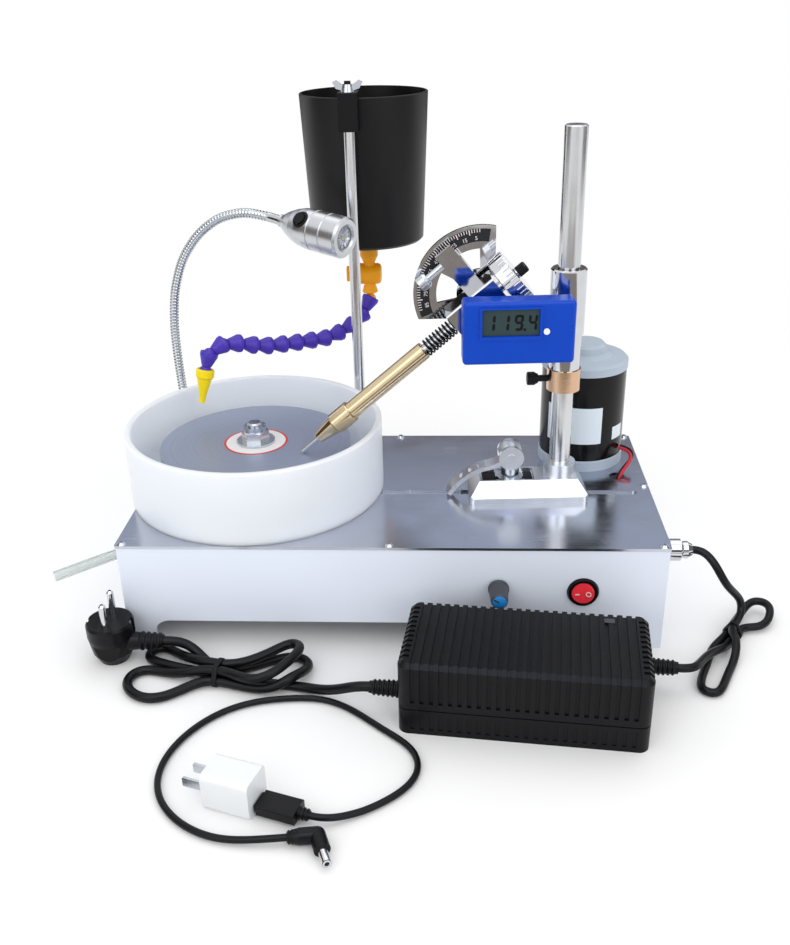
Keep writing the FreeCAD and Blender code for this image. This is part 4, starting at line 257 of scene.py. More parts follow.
def lap_face(name):
    """Diamond-plated steel lap: even grey grit, drawn at 0.5 mm so that it shows, in faint rings."""
    material, tree, place = begin(name)
    reach = {"W": spindle_distance(tree, place), "Scale": per(1.2), "Detail": 3.0}
    rings = add(tree, "ShaderNodeTexNoise", reach, noise_dimensions="1D").outputs["Fac"]
    grit = add(tree, "ShaderNodeTexNoise", {"Vector": place, "Scale": per(0.5),
                                            "Detail": 2.0}).outputs["Fac"]
    mixed = add(tree, "ShaderNodeMath", {0: rings, 1: grit}, operation="MULTIPLY").outputs[0]
    ramp = add(tree, "ShaderNodeValToRGB", {"Fac": mixed})
    for stop, position, code in zip(ramp.color_ramp.elements, (0.1, 0.5), ("979fb2", "adb6c9")):
        stop.position = position
        stop.color = opaque(linear(code))
    bump = add(tree, "ShaderNodeBump", {"Height": grit, "Strength": 0.15, "Distance": BUMP_HEIGHT})
    surface(tree, {"Metallic": 0.6, "Roughness": 0.42, "Base Color": ramp.outputs[0],
                   "Normal": bump.outputs["Normal"]})
    return material


def ringed_paper(name, ring, edge):
    """Printed paper label: white stock with a faint fibre, and one coloured ring at its edge."""
    material, tree, place = begin(name)
    past = add(tree, "ShaderNodeMath", {0: spindle_distance(tree, place), 1: edge},
               operation="GREATER_THAN")
    fibre = add(tree, "ShaderNodeTexNoise", {"Vector": place, "Scale": per(0.7),
                                             "Detail": 4.0}).outputs["Fac"]
    stock_tones = {"Factor": fibre, 6: opaque(linear("f3f1f1")), 7: opaque(linear("dcdadb"))}
    paper = add(tree, "ShaderNodeMix", stock_tones, data_type="RGBA").outputs[2]
    tone = add(tree, "ShaderNodeMix", {"Factor": past.outputs[0], 6: paper, 7: opaque(ring)},
               data_type="RGBA")
    bump = add(tree, "ShaderNodeBump", {"Height": fibre, "Strength": 0.05, "Distance": BUMP_HEIGHT})
    surface(tree, {"Roughness": 0.4, "Base Color": tone.outputs[2], "Normal": bump.outputs["Normal"]})
    return material


def clear_moulding(name, colour, rough, index, weight):
    """Clear vinyl or acrylic: light passes, and small flow lines show in the gloss."""
    material, tree, place = begin(name)
    flow = add(tree, "ShaderNodeTexNoise", {"Vector": place, "Scale": per(6.0),
                                            "Detail": 2.0}).outputs["Fac"]
    gloss = add(tree, "ShaderNodeMapRange", {"Value": flow, 3: rough, 4: rough + 0.1})
    bump = add(tree, "ShaderNodeBump", {"Height": flow, "Strength": 0.04, "Distance": 2.0 * BUMP_HEIGHT})
    surface(tree, {"Base Color": opaque(colour), "IOR": index, "Transmission Weight": weight,
                   "Roughness": gloss.outputs[0], "Normal": bump.outputs["Normal"]})
    return material


# The values of moulded(): a colour is an sRGB code or the name of one of the machine's colours.
MOULDED = {
    # Sawn acrylic sheet: white right through, satin on its faces, with faint long scuffs.
    "acrylic_panel": ("acrylic_sheet_white", "panel", 0.3, 3.0, 0.03, 60.0, 0.03),
    # Extruded pipe: smooth, slightly waxy white.
    "pipe": ("pvc_pipe_white", "bowl", 0.32, 2.0, 0.03, 45.0, 0.025, 0.4, 0.9),
    # Painted die casting: even grey with a fine dull grain.
    "cap": ("die_casting_painted_grey", "b0bdca", 0.45, 1.2, 0.12, 15.0, 0.05),
    # Baked enamel: deep black with a tight gloss.
    "enamel": ("motor_enamel_black", "0a0a0d", 0.18, 1.0, 0.02, 30.0, 0.15, 0.22),
    # Blow-moulded polypropylene: waxy black with soft highlights.
    "tank": ("polypropylene_black", "121113", 0.34, 1.5, 0.05, 40.0, 0.15, 0.26),
    # Spark-eroded ABS: black with a grain that breaks up the gloss.
    "brick": ("abs_black_textured", "0d0d10", 0.38, 0.6, 0.22, 25.0, 0.15, 0.18),
    # Moulded ABS: black with a quiet gloss.
    "black": ("abs_black", "0d0d10", 0.32, 0.6, 0.08, 20.0, 0.15, 0.2),
    # Pressed rubber: matt black with hardly a highlight.
    "rubber": ("rubber_black", "121213", 0.5, 0.5, 0.15, 12.0, 0.15, 0.2),
    # Extruded cord jacket: soft gloss along its length, slightly dusty.
    "jacket": ("pvc_cord_jacket_black", "0c0c0f", 0.33, 1.6, 0.1, 10.0, 0.2, 0.22),
    # Extruded insulation: bright red with a soft gloss.
    "lead_red": ("pvc_lead_red", "c01f34", 0.35, 1.0, 0.05, 8.0, 0.08),
    # Moulded ABS: strong blue with an even gloss.
    "display": ("abs_blue", "display", 0.28, 0.7, 0.06, 25.0, 0.06, 0.22),
    # Liquid crystal between glass plates: grey-green, smooth and shiny.
    "glass": ("liquid_crystal_cell", "glass", 0.14, 3.0, 0.01, 12.0, 0.08, 0.15),
    # Switched liquid crystal: nearly black and smooth.
    "segment": ("liquid_crystal_dark", "0b0f0e", 0.2, 2.0, 0.01, 8.0, 0.1),
    # Moulded ABS: clean white with a light gloss.
    "white": ("abs_white", "eceff2", 0.28, 0.7, 0.05, 20.0, 0.03),
    # Printed ink: flat, slightly warm white.
    "mark": ("ink_white", "f4e9e6", 0.45, 0.6, 0.03, 5.0, 0.04),
    # Paint in an engraving: flat black.
    "dark_mark": ("engraving_filled_black", "1c1d20", 0.5, 0.5, 0.05, 5.0, 0.1),
    # Moulded polycarbonate: bright red with a hard gloss.
    "rocker": ("polycarbonate_red", "rocker", 0.22, 0.8, 0.04, 10.0, 0.07),
    # Pressed phenolic: dull dark grey, slightly rough.
    "knob": ("phenolic_grey", "3b3e45", 0.45, 0.5, 0.12, 8.0, 0.1),
    # Moulded ABS: light blue with a soft gloss.
    "knob_cap": ("abs_blue_cap", "knob_cap", 0.35, 0.5, 0.04, 8.0, 0.06),
    # Moulded acetal, here and in the next two: full colour with a smooth, slippery gloss.
    "hose": ("acetal_purple", "hose", 0.3, 0.9, 0.06, 12.0, 0.12, 0.3),
    "nozzle": ("acetal_yellow", "nozzle", 0.3, 0.9, 0.05, 10.0, 0.06, 0.3),
    "valve": ("acetal_orange", "valve", 0.3, 0.9, 0.05, 10.0, 0.08, 0.3),
    # Circuit board under its lacquer: dark green, slightly uneven.
    "board": ("circuit_board_green", "1e5a38", 0.4, 1.5, 0.1, 6.0, 0.12),
    # Label film: smooth cold white.
    "label": ("label_film_white", "dbe6ee", 0.3, 1.2, 0.02, 20.0, 0.03),
    # Phosphor in silicone: dull pale yellow.
    "phosphor": ("diode_phosphor", "e2d488", 0.4, 0.4, 0.05, 3.0, 0.05),
}
ARM_TURN = (0.0, ARM_LEAN, math.radians(180.0 + 3.3))
LAMP_TURN = (0.0, 0.1, -0.56)
# The values of lined_metal(), with its colours given in the same way.
LINED = {
    # Rolled plate: fine lines along the machine, nearly a mirror under them.
    "plate": ("aluminium_plate_brushed", "c6cad4", 0.2, (120.0, 0.7, 5.0), 0.04),
    # Zinc plating: cold and bright, with short uneven marks.
    "zinc": ("steel_zinc_plated", "cdd2d8", 0.24, (4.0, 4.0, 1.0), 0.05),
    # Turned aluminium: grey with a fine feed of the tool up its side.
    "platen": ("aluminium_turned", "b9bcc0", 0.3, (6.0, 6.0, 0.5)),
    # Ground stainless bar: faint marks along it and one long highlight.
    "ground": ("stainless_bar_ground", "d4d5d7", 0.2, (2.5, 2.5, 70.0), 0.05),
    # Chrome on steel: a mirror with hardly a mark.
    "chrome": ("steel_chrome_plated", "d4d6da", 0.08, (9.0, 9.0, 9.0), 0.015, 0.04),
    # Chrome on a zinc casting: bright, with blurred reflections.
    "cast": ("zinc_casting_chromed", "eef1f5", 0.3, (9.0, 9.0, 9.0), 0.012, 0.04),
    # Thin nickel on brass: pale and warm, with rings from the tool.
    "collar": ("brass_nickel_washed", "dcb798", 0.2, (40.0, 40.0, 0.5), 0.05),
    # Turned brass: light gold with fine rings round the arm.
    "brass": ("brass_turned", "brass", 0.17, (0.6, 40.0, 40.0), 0.05, 0.06, 0.1, ARM_TURN),
    # Drawn tool steel: grey with fine lines along the arm.
    "tool_steel": ("tool_steel_drawn", "bfc2c5", 0.22, (20.0, 0.8, 0.8), 0.06, 0.1, 0.1, ARM_TURN),
    # Satin-turned aluminium: even pale grey with faint rings round the lamp.
    "satin": ("aluminium_satin_turned", "cfd1d4", 0.3, (0.7, 30.0, 30.0), 0.03, 0.03, 0.06, LAMP_TURN),
    # Chromed conduit: bright, slightly clouded.
    "neck": ("steel_conduit_chromed", "c4c8cb", 0.16, (3.0, 3.0, 3.0), 0.03),
    # Blackened spring wire: dark with a dull sheen.
    "spring": ("spring_wire_blackened", "2a2a2d", 0.3, (3.0, 3.0, 3.0)),
}
STOCK = {}


def stock(name):
    """One of the machine's materials, all made at the first call."""
    if not STOCK:
        colours = bpy.context.scene.machine_colours
        sizes = bpy.context.scene.machine_sizes
        for make, table in ((moulded, MOULDED), (lined_metal, LINED)):
            for key, (title, code, *values) in table.items():
                colour = tuple(getattr(colours, code)) if hasattr(colours, code) else linear(code)
                STOCK[key] = make(title, colour, *values)
        STOCK["lap"] = lap_face("steel_lap_diamond_plated")
        STOCK["lap_label"] = ringed_paper("label_paper_ringed", colours.label_ring,
                                          sizes.label - sizes.ring)
        STOCK["vinyl"] = clear_moulding("vinyl_tube_clear", linear("eef2f0"), 0.08, 1.3, 0.75)
        STOCK["lens"] = clear_moulding("acrylic_lens", linear("f2f6fa"), 0.03, 1.45, 0.85)
    return STOCK[name]


def finish(material, *names):
    """Gives CAD nodes their material."""
    for name in names:
        slots = NODES[name].data.materials
        slots.clear()
        slots.append(stock(material))


# Surfaces

def turned(x, y, angle, place):
    """A point of the plane, turned about the origin and then moved to a place."""
    c, s = math.cos(angle), math.sin(angle)
    return place[0] + c * x - s * y, place[1] + s * x + c * y


def polar(radius, angle):
    """The point of the plane at a distance and an angle from the origin."""
    return np.array((radius * math.cos(angle), radius * math.sin(angle)))


def full_turn(count):
    """Angles at even steps round one full turn, without its end."""
    return np.linspace(0.0, 2.0 * math.pi, count, endpoint=False)


def unit(way):
    """A direction divided by its length."""
    way = np.asarray(way, float)
    return way / np.linalg.norm(way)


def on_carriage(points):
    """Points (u, v, z) of the mast carriage's frame, in millimetres, as points of the machine's in metres."""
    p = np.asarray(points, float)
    x, y = turned(p[..., 0], p[..., 1], CARRIAGE_TURN, CLAMP)
    return np.stack([x, y, p[..., 2]], -1) * MM


def upright(grid):
    """A flat grid stood up in the carriage's frame: its second axis points up and its heights point back."""
    return on_carriage(grid[..., [0, 2, 1]])


def on_arm(points):
    """Points of the arm's frame, x towards the dop, y to the front and z up, as points of the machine's."""
    p = np.asarray(points, float)
    c, s = math.cos(ARM_LEAN), math.sin(ARM_LEAN)
    u = PIVOT[0] - c * p[..., 0] - s * p[..., 2]
    z = PIVOT[1] - s * p[..., 0] + c * p[..., 2]
    return on_carriage(np.stack([u, -p[..., 1], z], -1))


def frame_of(way):
    """Two directions square to a way and to each other."""
    way = unit(way)
    side = unit(np.cross(way, Z_WAY if abs(way[2]) < 0.9 else X_WAY))
    return way, side, np.cross(side, way)


def lathe(profile, start, way, count=48, flute=0, depth=0.0):
    """A surface of revolution: a row of (radius, distance) pairs turned about a line from start.

    flute and depth press that many grooves into it along the line. Lengths are in millimetres.
    """
    way, side, up = frame_of(way)
    turn = full_turn(count)
    rows = np.asarray(profile, float)
    radius = rows[:, :1] * np.ones(count)
    if flute:
        radius = radius - depth * (0.5 + 0.5 * np.cos(flute * turn)) * (rows[:, :1] > 0.0)
    ring = np.cos(turn)[:, None] * side + np.sin(turn)[:, None] * up
    return np.asarray(start, float) + rows[:, 1, None, None] * way + radius[..., None] * ring


def tube_along(path, radius, count=20):
    """A ring carried along a path, square to it, with the ring's start kept level."""
    p = np.asarray(path, float)
    way = np.gradient(p, axis=0)
    way = way / np.linalg.norm(way, axis=1)[:, None]
    side = np.cross(way, Z_WAY)
    side = side / np.linalg.norm(side, axis=1)[:, None]
    up = np.cross(side, way)
    turn = full_turn(count)
    ring = np.cos(turn)[None, :, None] * side[:, None] + np.sin(turn)[None, :, None] * up[:, None]
    return p[:, None] + radius * ring


def grid_faces(rows, columns, close_rows, close_columns):
    """Four-cornered faces between neighbours of a grid, wrapped round where it closes on itself."""
    i, j = np.meshgrid(np.arange(rows if close_rows else rows - 1),
                       np.arange(columns if close_columns else columns - 1), indexing="ij")
    i, j = i.ravel(), j.ravel()
    k, m = (i + 1) % rows, (j + 1) % columns
    return np.stack([i * columns + j, i * columns + m, k * columns + m, k * columns + j], -1)


def placed(name, data, material, body):
    """An object of mesh or curve data in the scene, with its material and the body that it rides on."""
    made = bpy.data.objects.new(name, data)
    bpy.context.scene.collection.objects.link(made)
    data.materials.append(stock(material))
    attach(made, body)
    return made


def piece(name, grids, material, body, smooth=True):
    """Makes one mesh object of grids of points in metres.

    A grid's columns close on themselves and its rows don't, unless it comes with what closes: rows, columns.
    """
    points, faces, start = [], [], 0
    for entry in grids:
        grid, close_rows, close_columns = entry if isinstance(entry, tuple) else (entry, False, True)
        rows, columns = grid.shape[:2]
        points.append(grid.reshape(-1, 3))
        faces.append(grid_faces(rows, columns, close_rows, close_columns) + start)
        start += rows * columns
    mesh = bpy.data.meshes.new(name)
    mesh.from_pydata(np.concatenate(points).tolist(), [], np.concatenate(faces).tolist())
    shell = bmesh.new()
    shell.from_mesh(mesh)
    bmesh.ops.remove_doubles(shell, verts=shell.verts, dist=1e-7)
    bmesh.ops.dissolve_degenerate(shell, edges=shell.edges, dist=1e-8)
    bmesh.ops.recalc_face_normals(shell, faces=shell.faces)
    shell.to_mesh(mesh)
    shell.free()
    mesh.polygons.foreach_set("use_smooth", np.full(len(mesh.polygons), smooth))
    if smooth:
        mesh.set_sharp_from_angle(angle=math.radians(35.0))
    made = placed(name, mesh, material, body)
    return made


def plate_of(outline, low, high):
    """A flat plate: one outline of points (a, b) between two heights, as a grid that closes at both ends."""
    edge = np.asarray(outline, float)
    middle = np.tile(edge.mean(0), (len(edge), 1))
    return np.stack([np.column_stack([row, np.full(len(edge), level)])
                     for row, level in ((middle, low), (edge, low), (edge, high), (middle, high))])


def frame_ring(outer, inner, low, high):
    """A flat frame between two outlines with the same number of points. Its rows close."""
    return np.stack([np.column_stack([edge, np.full(len(edge), level)])
                     for edge, level in ((inner, low), (outer, low), (outer, high), (inner, high))])


def rounded_outline(width, height, corner, count=8):
    """The outline of a rectangle with round corners, about its middle."""
    turn = np.linspace(0.0, 0.5 * math.pi, count)
    parts = []
    for quarter, (sx, sy) in enumerate(((1, 1), (-1, 1), (-1, -1), (1, -1))):
        a = turn + 0.5 * math.pi * quarter
        parts.append(np.column_stack([sx * (0.5 * width - corner) + corner * np.cos(a),
                                      sy * (0.5 * height - corner) + corner * np.sin(a)]))
    return np.concatenate(parts)


def strip(first, last, width, corner, middle):
    """The outline of a strip along the first axis."""
    return rounded_outline(last - first, width, corner) + np.array((0.5 * (first + last), middle))


# Leads

def lead(name, points, diameter, material, body="base"):
    """A round cord as one smooth spline whose control points are the route's, in millimetres."""
    curve = bpy.data.curves.new(name, "CURVE")
    curve.dimensions = "3D"
    spline = curve.splines.new("NURBS")
    spline.points.add(len(points) - 1)
    rows = np.column_stack([np.asarray(points, float) * MM, np.ones(len(points))])
    spline.points.foreach_set("co", rows.ravel())
    spline.order_u = 4
    spline.use_endpoint_u = True
    curve.resolution_u = 10
    curve.bevel_depth = 0.5 * diameter
    curve.bevel_resolution = 5
    curve.use_fill_caps = True
    return placed(name, curve, material, body)


def spline_points(points):
    """The points of a route's smooth spline, read from a curve without thickness."""
    bare = lead("route_reading", points, 0.0, "jacket")
    mesh = bpy.data.meshes.new_from_object(bare.evaluated_get(bpy.context.evaluated_depsgraph_get()))
    found = np.zeros(3 * len(mesh.vertices))
    mesh.vertices.foreach_get("co", found)
    bpy.data.meshes.remove(mesh)
    curve = bare.data
    bpy.data.objects.remove(bare)
    bpy.data.curves.remove(curve)
    return found.reshape(-1, 3)


def run_length(points):
    """The length of a path: the sum of the distances between its neighbours."""
    return float(np.linalg.norm(np.diff(points, axis=0), axis=1).sum())


TIE_REACH = 8.0
# A tie's band: how far each of its edges stands off the strands, and how far along them it lies.
TIE_SECTION = ((0.3, -1.6), (0.3, 1.6), (0.75, 1.8), (0.9, 1.1), (0.9, -1.1), (0.75, -1.8))
SUPPLY_TIE = (254.5, -84.0)
SUPPLY_TIE_WAY = (-0.5, -math.sqrt(0.75))
SUPPLY_STRANDS = ((0.0, 10.5), (-3.3, 4.4), (3.3, 4.4))
MAINS_TIE = (-121.0, -142.4)
MAINS_TIE_WAY = (-0.98 / math.hypot(0.98, 0.2), 0.2 / math.hypot(0.98, 0.2))
MAINS_STRANDS = ((0.0, 4.9), (-3.8, 11.5), (3.8, 11.5), (7.6, 4.9), (-7.6, 4.9))


def tie_run(centre, way, offset, height):
    """The two points of a strand where it passes through a tie."""
    middle = np.asarray(centre) + offset * np.array((-way[1], way[0]))
    step = TIE_REACH * np.asarray(way)
    return [(*(middle - step), height), (*(middle + step), height)]


def tie_band(centre, way, strands, radius):
    """A flat band stretched round strands: in each direction it lies on the strand that reaches furthest."""
    turn = full_turn(120)
    out = np.column_stack([np.cos(turn), np.sin(turn)])
    middles = np.asarray(strands, float)
    best = middles[np.argmax(out @ middles.T, axis=1)]
    across = np.array((-way[1], way[0], 0.0))
    rows = []
    for grow, shift in TIE_SECTION:
        loop = best + (radius + grow) * out
        rows.append(np.array((*centre, 0.0)) + shift * np.array((*way, 0.0)) + loop[:, :1] * across
                    + loop[:, 1:] * np.array(Z_WAY))
    return np.stack(rows) * MM


def ribbed_sleeve(start, way, length, near, far, ribs, height):
    """A strain relief's rings: a cone whose radius rises in round steps, with gaps between the rings."""
    s = np.linspace(0.0, 1.0, 12 * ribs + 1)
    wave = np.clip(1.6 * np.sin(math.pi * ribs * s) ** 2 - 0.3, 0.0, 1.0)
    radius = near + (far - near) * s + height * wave
    profile = np.column_stack([radius, length * s])
    profile = np.concatenate([[(0.6 * near, 0.0)], profile, [(0.6 * far, length)]])
    return lathe(profile, start, way, 32) * MM


def brick_point(x, y, z):
    """A point of the power brick's own frame in the machine's, in millimetres: turned, then moved."""
    return (*turned(x, y, BRICK_TURN, BRICK), z)


def charger_point(x, y, z):
    """A point of the charger's own frame in the machine's, in millimetres: turned, then moved."""
    return (*turned(x, y, CHARGER_TURN, CHARGER), z)


def supply_route():
    """The low-voltage lead: out of the machine's side, down, two folds held by a tie, and into the brick."""
    top, left, right = [tie_run(SUPPLY_TIE, SUPPLY_TIE_WAY, n, z) for n, z in SUPPLY_STRANDS]
    return [(223.5, -60.0, 62.0), (230.5, -60.0, 62.0), (236.5, -67.5, 59.5), (241.5, -74.5, 52.0),
            (247.5, -75.5, 41.5), (254.5, -70.5, 32.5), (262.7, -64.6, 22.4), (264.5, -66.3, 15.6),
            (262.4, -71.4, 11.3), *top, (252.8, -99.0, 11.2), (251.0, -109.0, 7.0), (247.0, -118.5, 3.4),
            (242.0, -128.0, 3.1), (236.8, -138.5, 3.1), (230.0, -152.5, 3.1), (224.4, -154.5, 3.1),
            (219.0, -151.9, 3.1), (217.1, -146.2, 3.1), (222.0, -132.5, 3.1), (229.0, -118.5, 3.1),
            (234.6, -102.4, 3.6), *reversed(left), (262.5, -65.5, 4.6), (270.0, -55.0, 7.0),
            (277.0, -47.5, 8.6), (284.0, -47.0, 9.0), (289.0, -52.0, 9.0), (289.0, -59.5, 8.0),
            (284.5, -70.0, 5.4), (276.5, -76.3, 4.6), (268.0, -75.8, 4.2), *right, (245.6, -101.2, 3.8),
            (239.6, -109.5, 8.2), (229.5, -119.5, 11.5), (221.5, -131.0, 14.5), (215.5, -142.0, 17.5),
            brick_point(112.5, *BRICK_OUT), brick_point(103.5, *BRICK_OUT)]


def mains_route():
    """The mains lead: out of the brick, along the floor, in long folds through a tie, and up to the plug."""
    a, b, c, d, e = [tie_run(MAINS_TIE, MAINS_TIE_WAY, n, z) for n, z in MAINS_STRANDS]
    return [brick_point(-103.5, *BRICK_IN), brick_point(-111.5, *BRICK_IN), (-31.0, -168.5, 13.5),
            (-44.0, -161.5, 7.0), (-57.0, -155.0, 4.0), (-70.0, -152.0, 3.6), (-84.0, -150.5, 3.6),
            (-98.0, -147.5, 4.2), *a, (-144.0, -136.5, 4.0), (-155.0, -132.4, 3.6),
            (-166.0, -128.5, 3.6), (-176.0, -124.3, 3.6), (-179.0, -118.6, 3.8), (-177.4, -112.3, 4.0),
            (-171.7, -109.1, 4.0), (-165.5, -110.7, 4.0), (-157.0, -118.2, 5.0), (-148.0, -127.3, 8.8),
            (-138.0, -134.2, 11.3), *reversed(b), (-98.0, -133.8, 11.6), (-86.0, -125.5, 12.6),
            (-76.0, -118.8, 14.6), (-69.0, -119.4, 16.4), (-64.5, -124.8, 17.6), (-64.5, -131.8, 18.5),
            (-69.5, -143.5, 18.6), (-78.5, -154.0, 16.5), (-89.0, -159.0, 13.6), (-101.0, -156.4, 12.6),
            *c, (-141.0, -145.0, 8.8), (-153.0, -142.0, 5.0), (-165.0, -138.2, 3.6),
            (-176.5, -135.2, 3.6), (-185.5, -141.0, 3.6), (-187.0, -152.5, 3.6), (-179.5, -163.5, 3.6),
            (-167.0, -169.5, 3.6), (-154.5, -166.5, 3.6), (-143.5, -157.5, 3.9), *reversed(d),
            (-101.0, -155.2, 4.2), (-88.0, -158.4, 4.6), (-76.0, -159.2, 8.4), (-66.0, -153.2, 12.6),
            (-58.5, -142.0, 9.0), (-57.5, -128.0, 4.2), (-66.0, -118.0, 3.6), (-79.0, -119.6, 3.6),
            (-92.5, -127.2, 3.6), (-104.0, -133.6, 4.2), *e, (-135.0, -125.6, 4.9),
            (-143.0, -119.6, 9.4), (-151.0, -117.6, 14.6), (-158.5, *PLUG_IN),
            (-166.5, *PLUG_IN)]


def lamp_route():
    """The lamp's lead: from the charger's plug, in one wide loop on the floor, to the barrel plug."""
    z = 2.6
    return [charger_point(50.3, *CHARGER_OUT), charger_point(59.3, *CHARGER_OUT), (-16.5, -274.5, 3.2),
            (-3.5, -267.3, z), (11.5, -256.0, z), (21.3, -243.6, z), (24.5, -230.0, z),
            (20.5, -216.0, z), (11.0, -205.5, z), (-1.5, -195.5, z), (-14.0, -184.0, z),
            (-28.0, -172.6, z), (-43.5, -165.3, z), (-60.0, -164.2, z), (-76.0, -166.0, z),
            (-92.0, -169.4, z), (-109.0, -177.8, z), (-124.0, -192.5, z), (-135.0, -211.0, z),
            (-140.6, -231.5, z), (-139.0, -252.0, z), (-130.0, -269.5, z), (-115.5, -283.5, z),
            (-98.5, -292.2, z), (-80.5, -295.8, 3.2), (-61.41, -295.33, 5.0), BARREL_FOOT]


def motor_route(lean):
    """One motor lead: out of the can's side and down through the plate. lean parts it from the other."""
    x = MOTOR[0] + 0.86 * MOTOR_EXIT_R + 0.51 * lean
    y = MOTOR[1] - 0.51 * MOTOR_EXIT_R + 0.86 * lean
    return [(x, y, 100.0), (x + 8.0, y - 4.0, 99.5), (x + 10.5, y - 13.0, 96.5), (183.5, 23.0 + lean, 90.0),
            (178.6, 18.0 + lean, 82.5), (178.0, 18.0 + lean, 71.0)]


class FACET_OT_leads(bpy.types.Operator):
    """Lay the supply, mains and lamp leads and the motor's two leads as smooth cords"""

    bl_idname = "facet.leads"
    bl_label = "Leads"

    def execute(self, context):
        sizes = context.scene.machine_sizes
        rows = (("supply_lead", supply_route(), sizes.supply_lead, "dc_cord", "object", ["power_brick"]),
                ("mains_lead", mains_route(), sizes.mains_lead, "mains_cord", "plug", ["mains_plug"]),
                ("lamp_lead", lamp_route(), sizes.lamp_lead, "lamp_cord", "connector", ["lamp_plugs"]))
        for name, route, diameter, solid, far_end, ends in rows:
            length = run_length(spline_points(route))
            cord = lead(name, route, diameter, "jacket")
            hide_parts(solid)
        for name, lean, material in (("motor_lead_red", -1.8, "lead_red"),
                                     ("motor_lead_black", 1.8, "jacket")):
            route = motor_route(lean)
            length = run_length(spline_points(route))
            cord = lead(name, route, sizes.motor_lead, material)
            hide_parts("motor_leads")
        return {"FINISHED"}


class FACET_OT_supply(bpy.types.Operator):
    """Finish the brick, the plugs and the charger, with their relief rings and the two ties"""

    bl_idname = "facet.supply"
    bl_label = "Supply"

    def execute(self, context):
        finish("brick", "power_brick")
        finish("black", "mains_plug", "lamp_plugs")
        finish("white", "usb_charger")
        finish("chrome", "dc_plug", "power_inlet")
        across = np.subtract(brick_point(*X_WAY), brick_point(0.0, 0.0, 0.0))
        rings = [ribbed_sleeve(brick_point(82.5, *BRICK_OUT), across, 19.0, 5.3, 4.5, 6, 0.9),
                 ribbed_sleeve(brick_point(-82.5, *BRICK_IN), -across, 19.0, 5.3, 4.5, 6, 0.9)]
        piece("brick_relief_rings", rings, "black", "base")
        grid = plate_of(rounded_outline(7.0, 5.0, 0.6) + np.array((55.0, 27.5)), 54.9, 55.25)
        window = np.stack(brick_point(grid[..., 0], grid[..., 1], grid[..., 2]), -1) * MM
        piece("brick_light_window", [window], "knob", "base")
        neck = ribbed_sleeve((-184.0, *PLUG_IN), X_WAY, 17.0, 6.3, 4.9, 4, 0.9)
        piece("plug_relief_rings", [neck], "black", "base")
        out = np.subtract(charger_point(*X_WAY), charger_point(0.0, 0.0, 0.0))
        barrel_way = unit(np.subtract(BARREL_CORNER, BARREL_FOOT))
        rings = [ribbed_sleeve(charger_point(43.3, *CHARGER_OUT), out, 6.8, 3.4, 2.9, 3, 0.8),
                 ribbed_sleeve(np.array(BARREL_FOOT) + (0.1, 0.0, 0.0), barrel_way, 8.0, 3.3, 4.3, 4, 0.7)]
        piece("lamp_plug_rings", rings, "black", "base")
        profile = [(0.0, 12.1), (2.9, 12.1), (2.9, 21.6), (2.6, 22.6), (1.5, 22.7), (1.4, 19.0),
                   (0.0, 19.0)]
        tip = lathe(profile, BARREL_CORNER, unit((0.35, -0.937, 0.0)), 28) * MM
        piece("barrel_tip", [tip], "chrome", "base")
        profile = [(2.55, 33.1), (2.55, 50.6), (1.2, 52.0), (0.0, 52.0)]
        pins = [lathe(profile, (PLUG[0], PLUG[1] + side, 0.0), Z_WAY, 24) * MM for side in (-9.5, 9.5)]
        piece("plug_pins", pins, "chrome", "base")
        clips = []
        for near in (-15.6, 15.0):
            grid = plate_of(rounded_outline(4.6, 9.6, 0.8), near, near + 0.6)
            clips.append(np.stack((PLUG[0] + grid[..., 2], PLUG[1] + grid[..., 0], 27.2 + grid[..., 1]),
                                  -1) * MM)
        piece("plug_earth_clips", clips, "zinc", "base")
        blades = []
        for side in (-6.35, 6.35):
            grid = plate_of(rounded_outline(15.4, 6.5, 0.9), side - 0.85, side + 0.85)
            blades.append(np.stack(charger_point(grid[..., 0] - 23.75, grid[..., 2], grid[..., 1] + 13.15),
                                   -1) * MM)
        piece("charger_blades", blades, "zinc", "base")
        bands = [tie_band(SUPPLY_TIE, SUPPLY_TIE_WAY, SUPPLY_STRANDS, 3.0),
                 tie_band(MAINS_TIE, MAINS_TIE_WAY, MAINS_STRANDS, 3.5)]
        ties = piece("tie_bands", [(band, True, True) for band in bands], "rubber", "base")
        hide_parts("cord_ties")
        return {"FINISHED"}


MOTOR_LABEL_IN = 33.7
MOTOR_LABEL_OUT = 33.95
MOTOR_LABEL_STEPS = 40


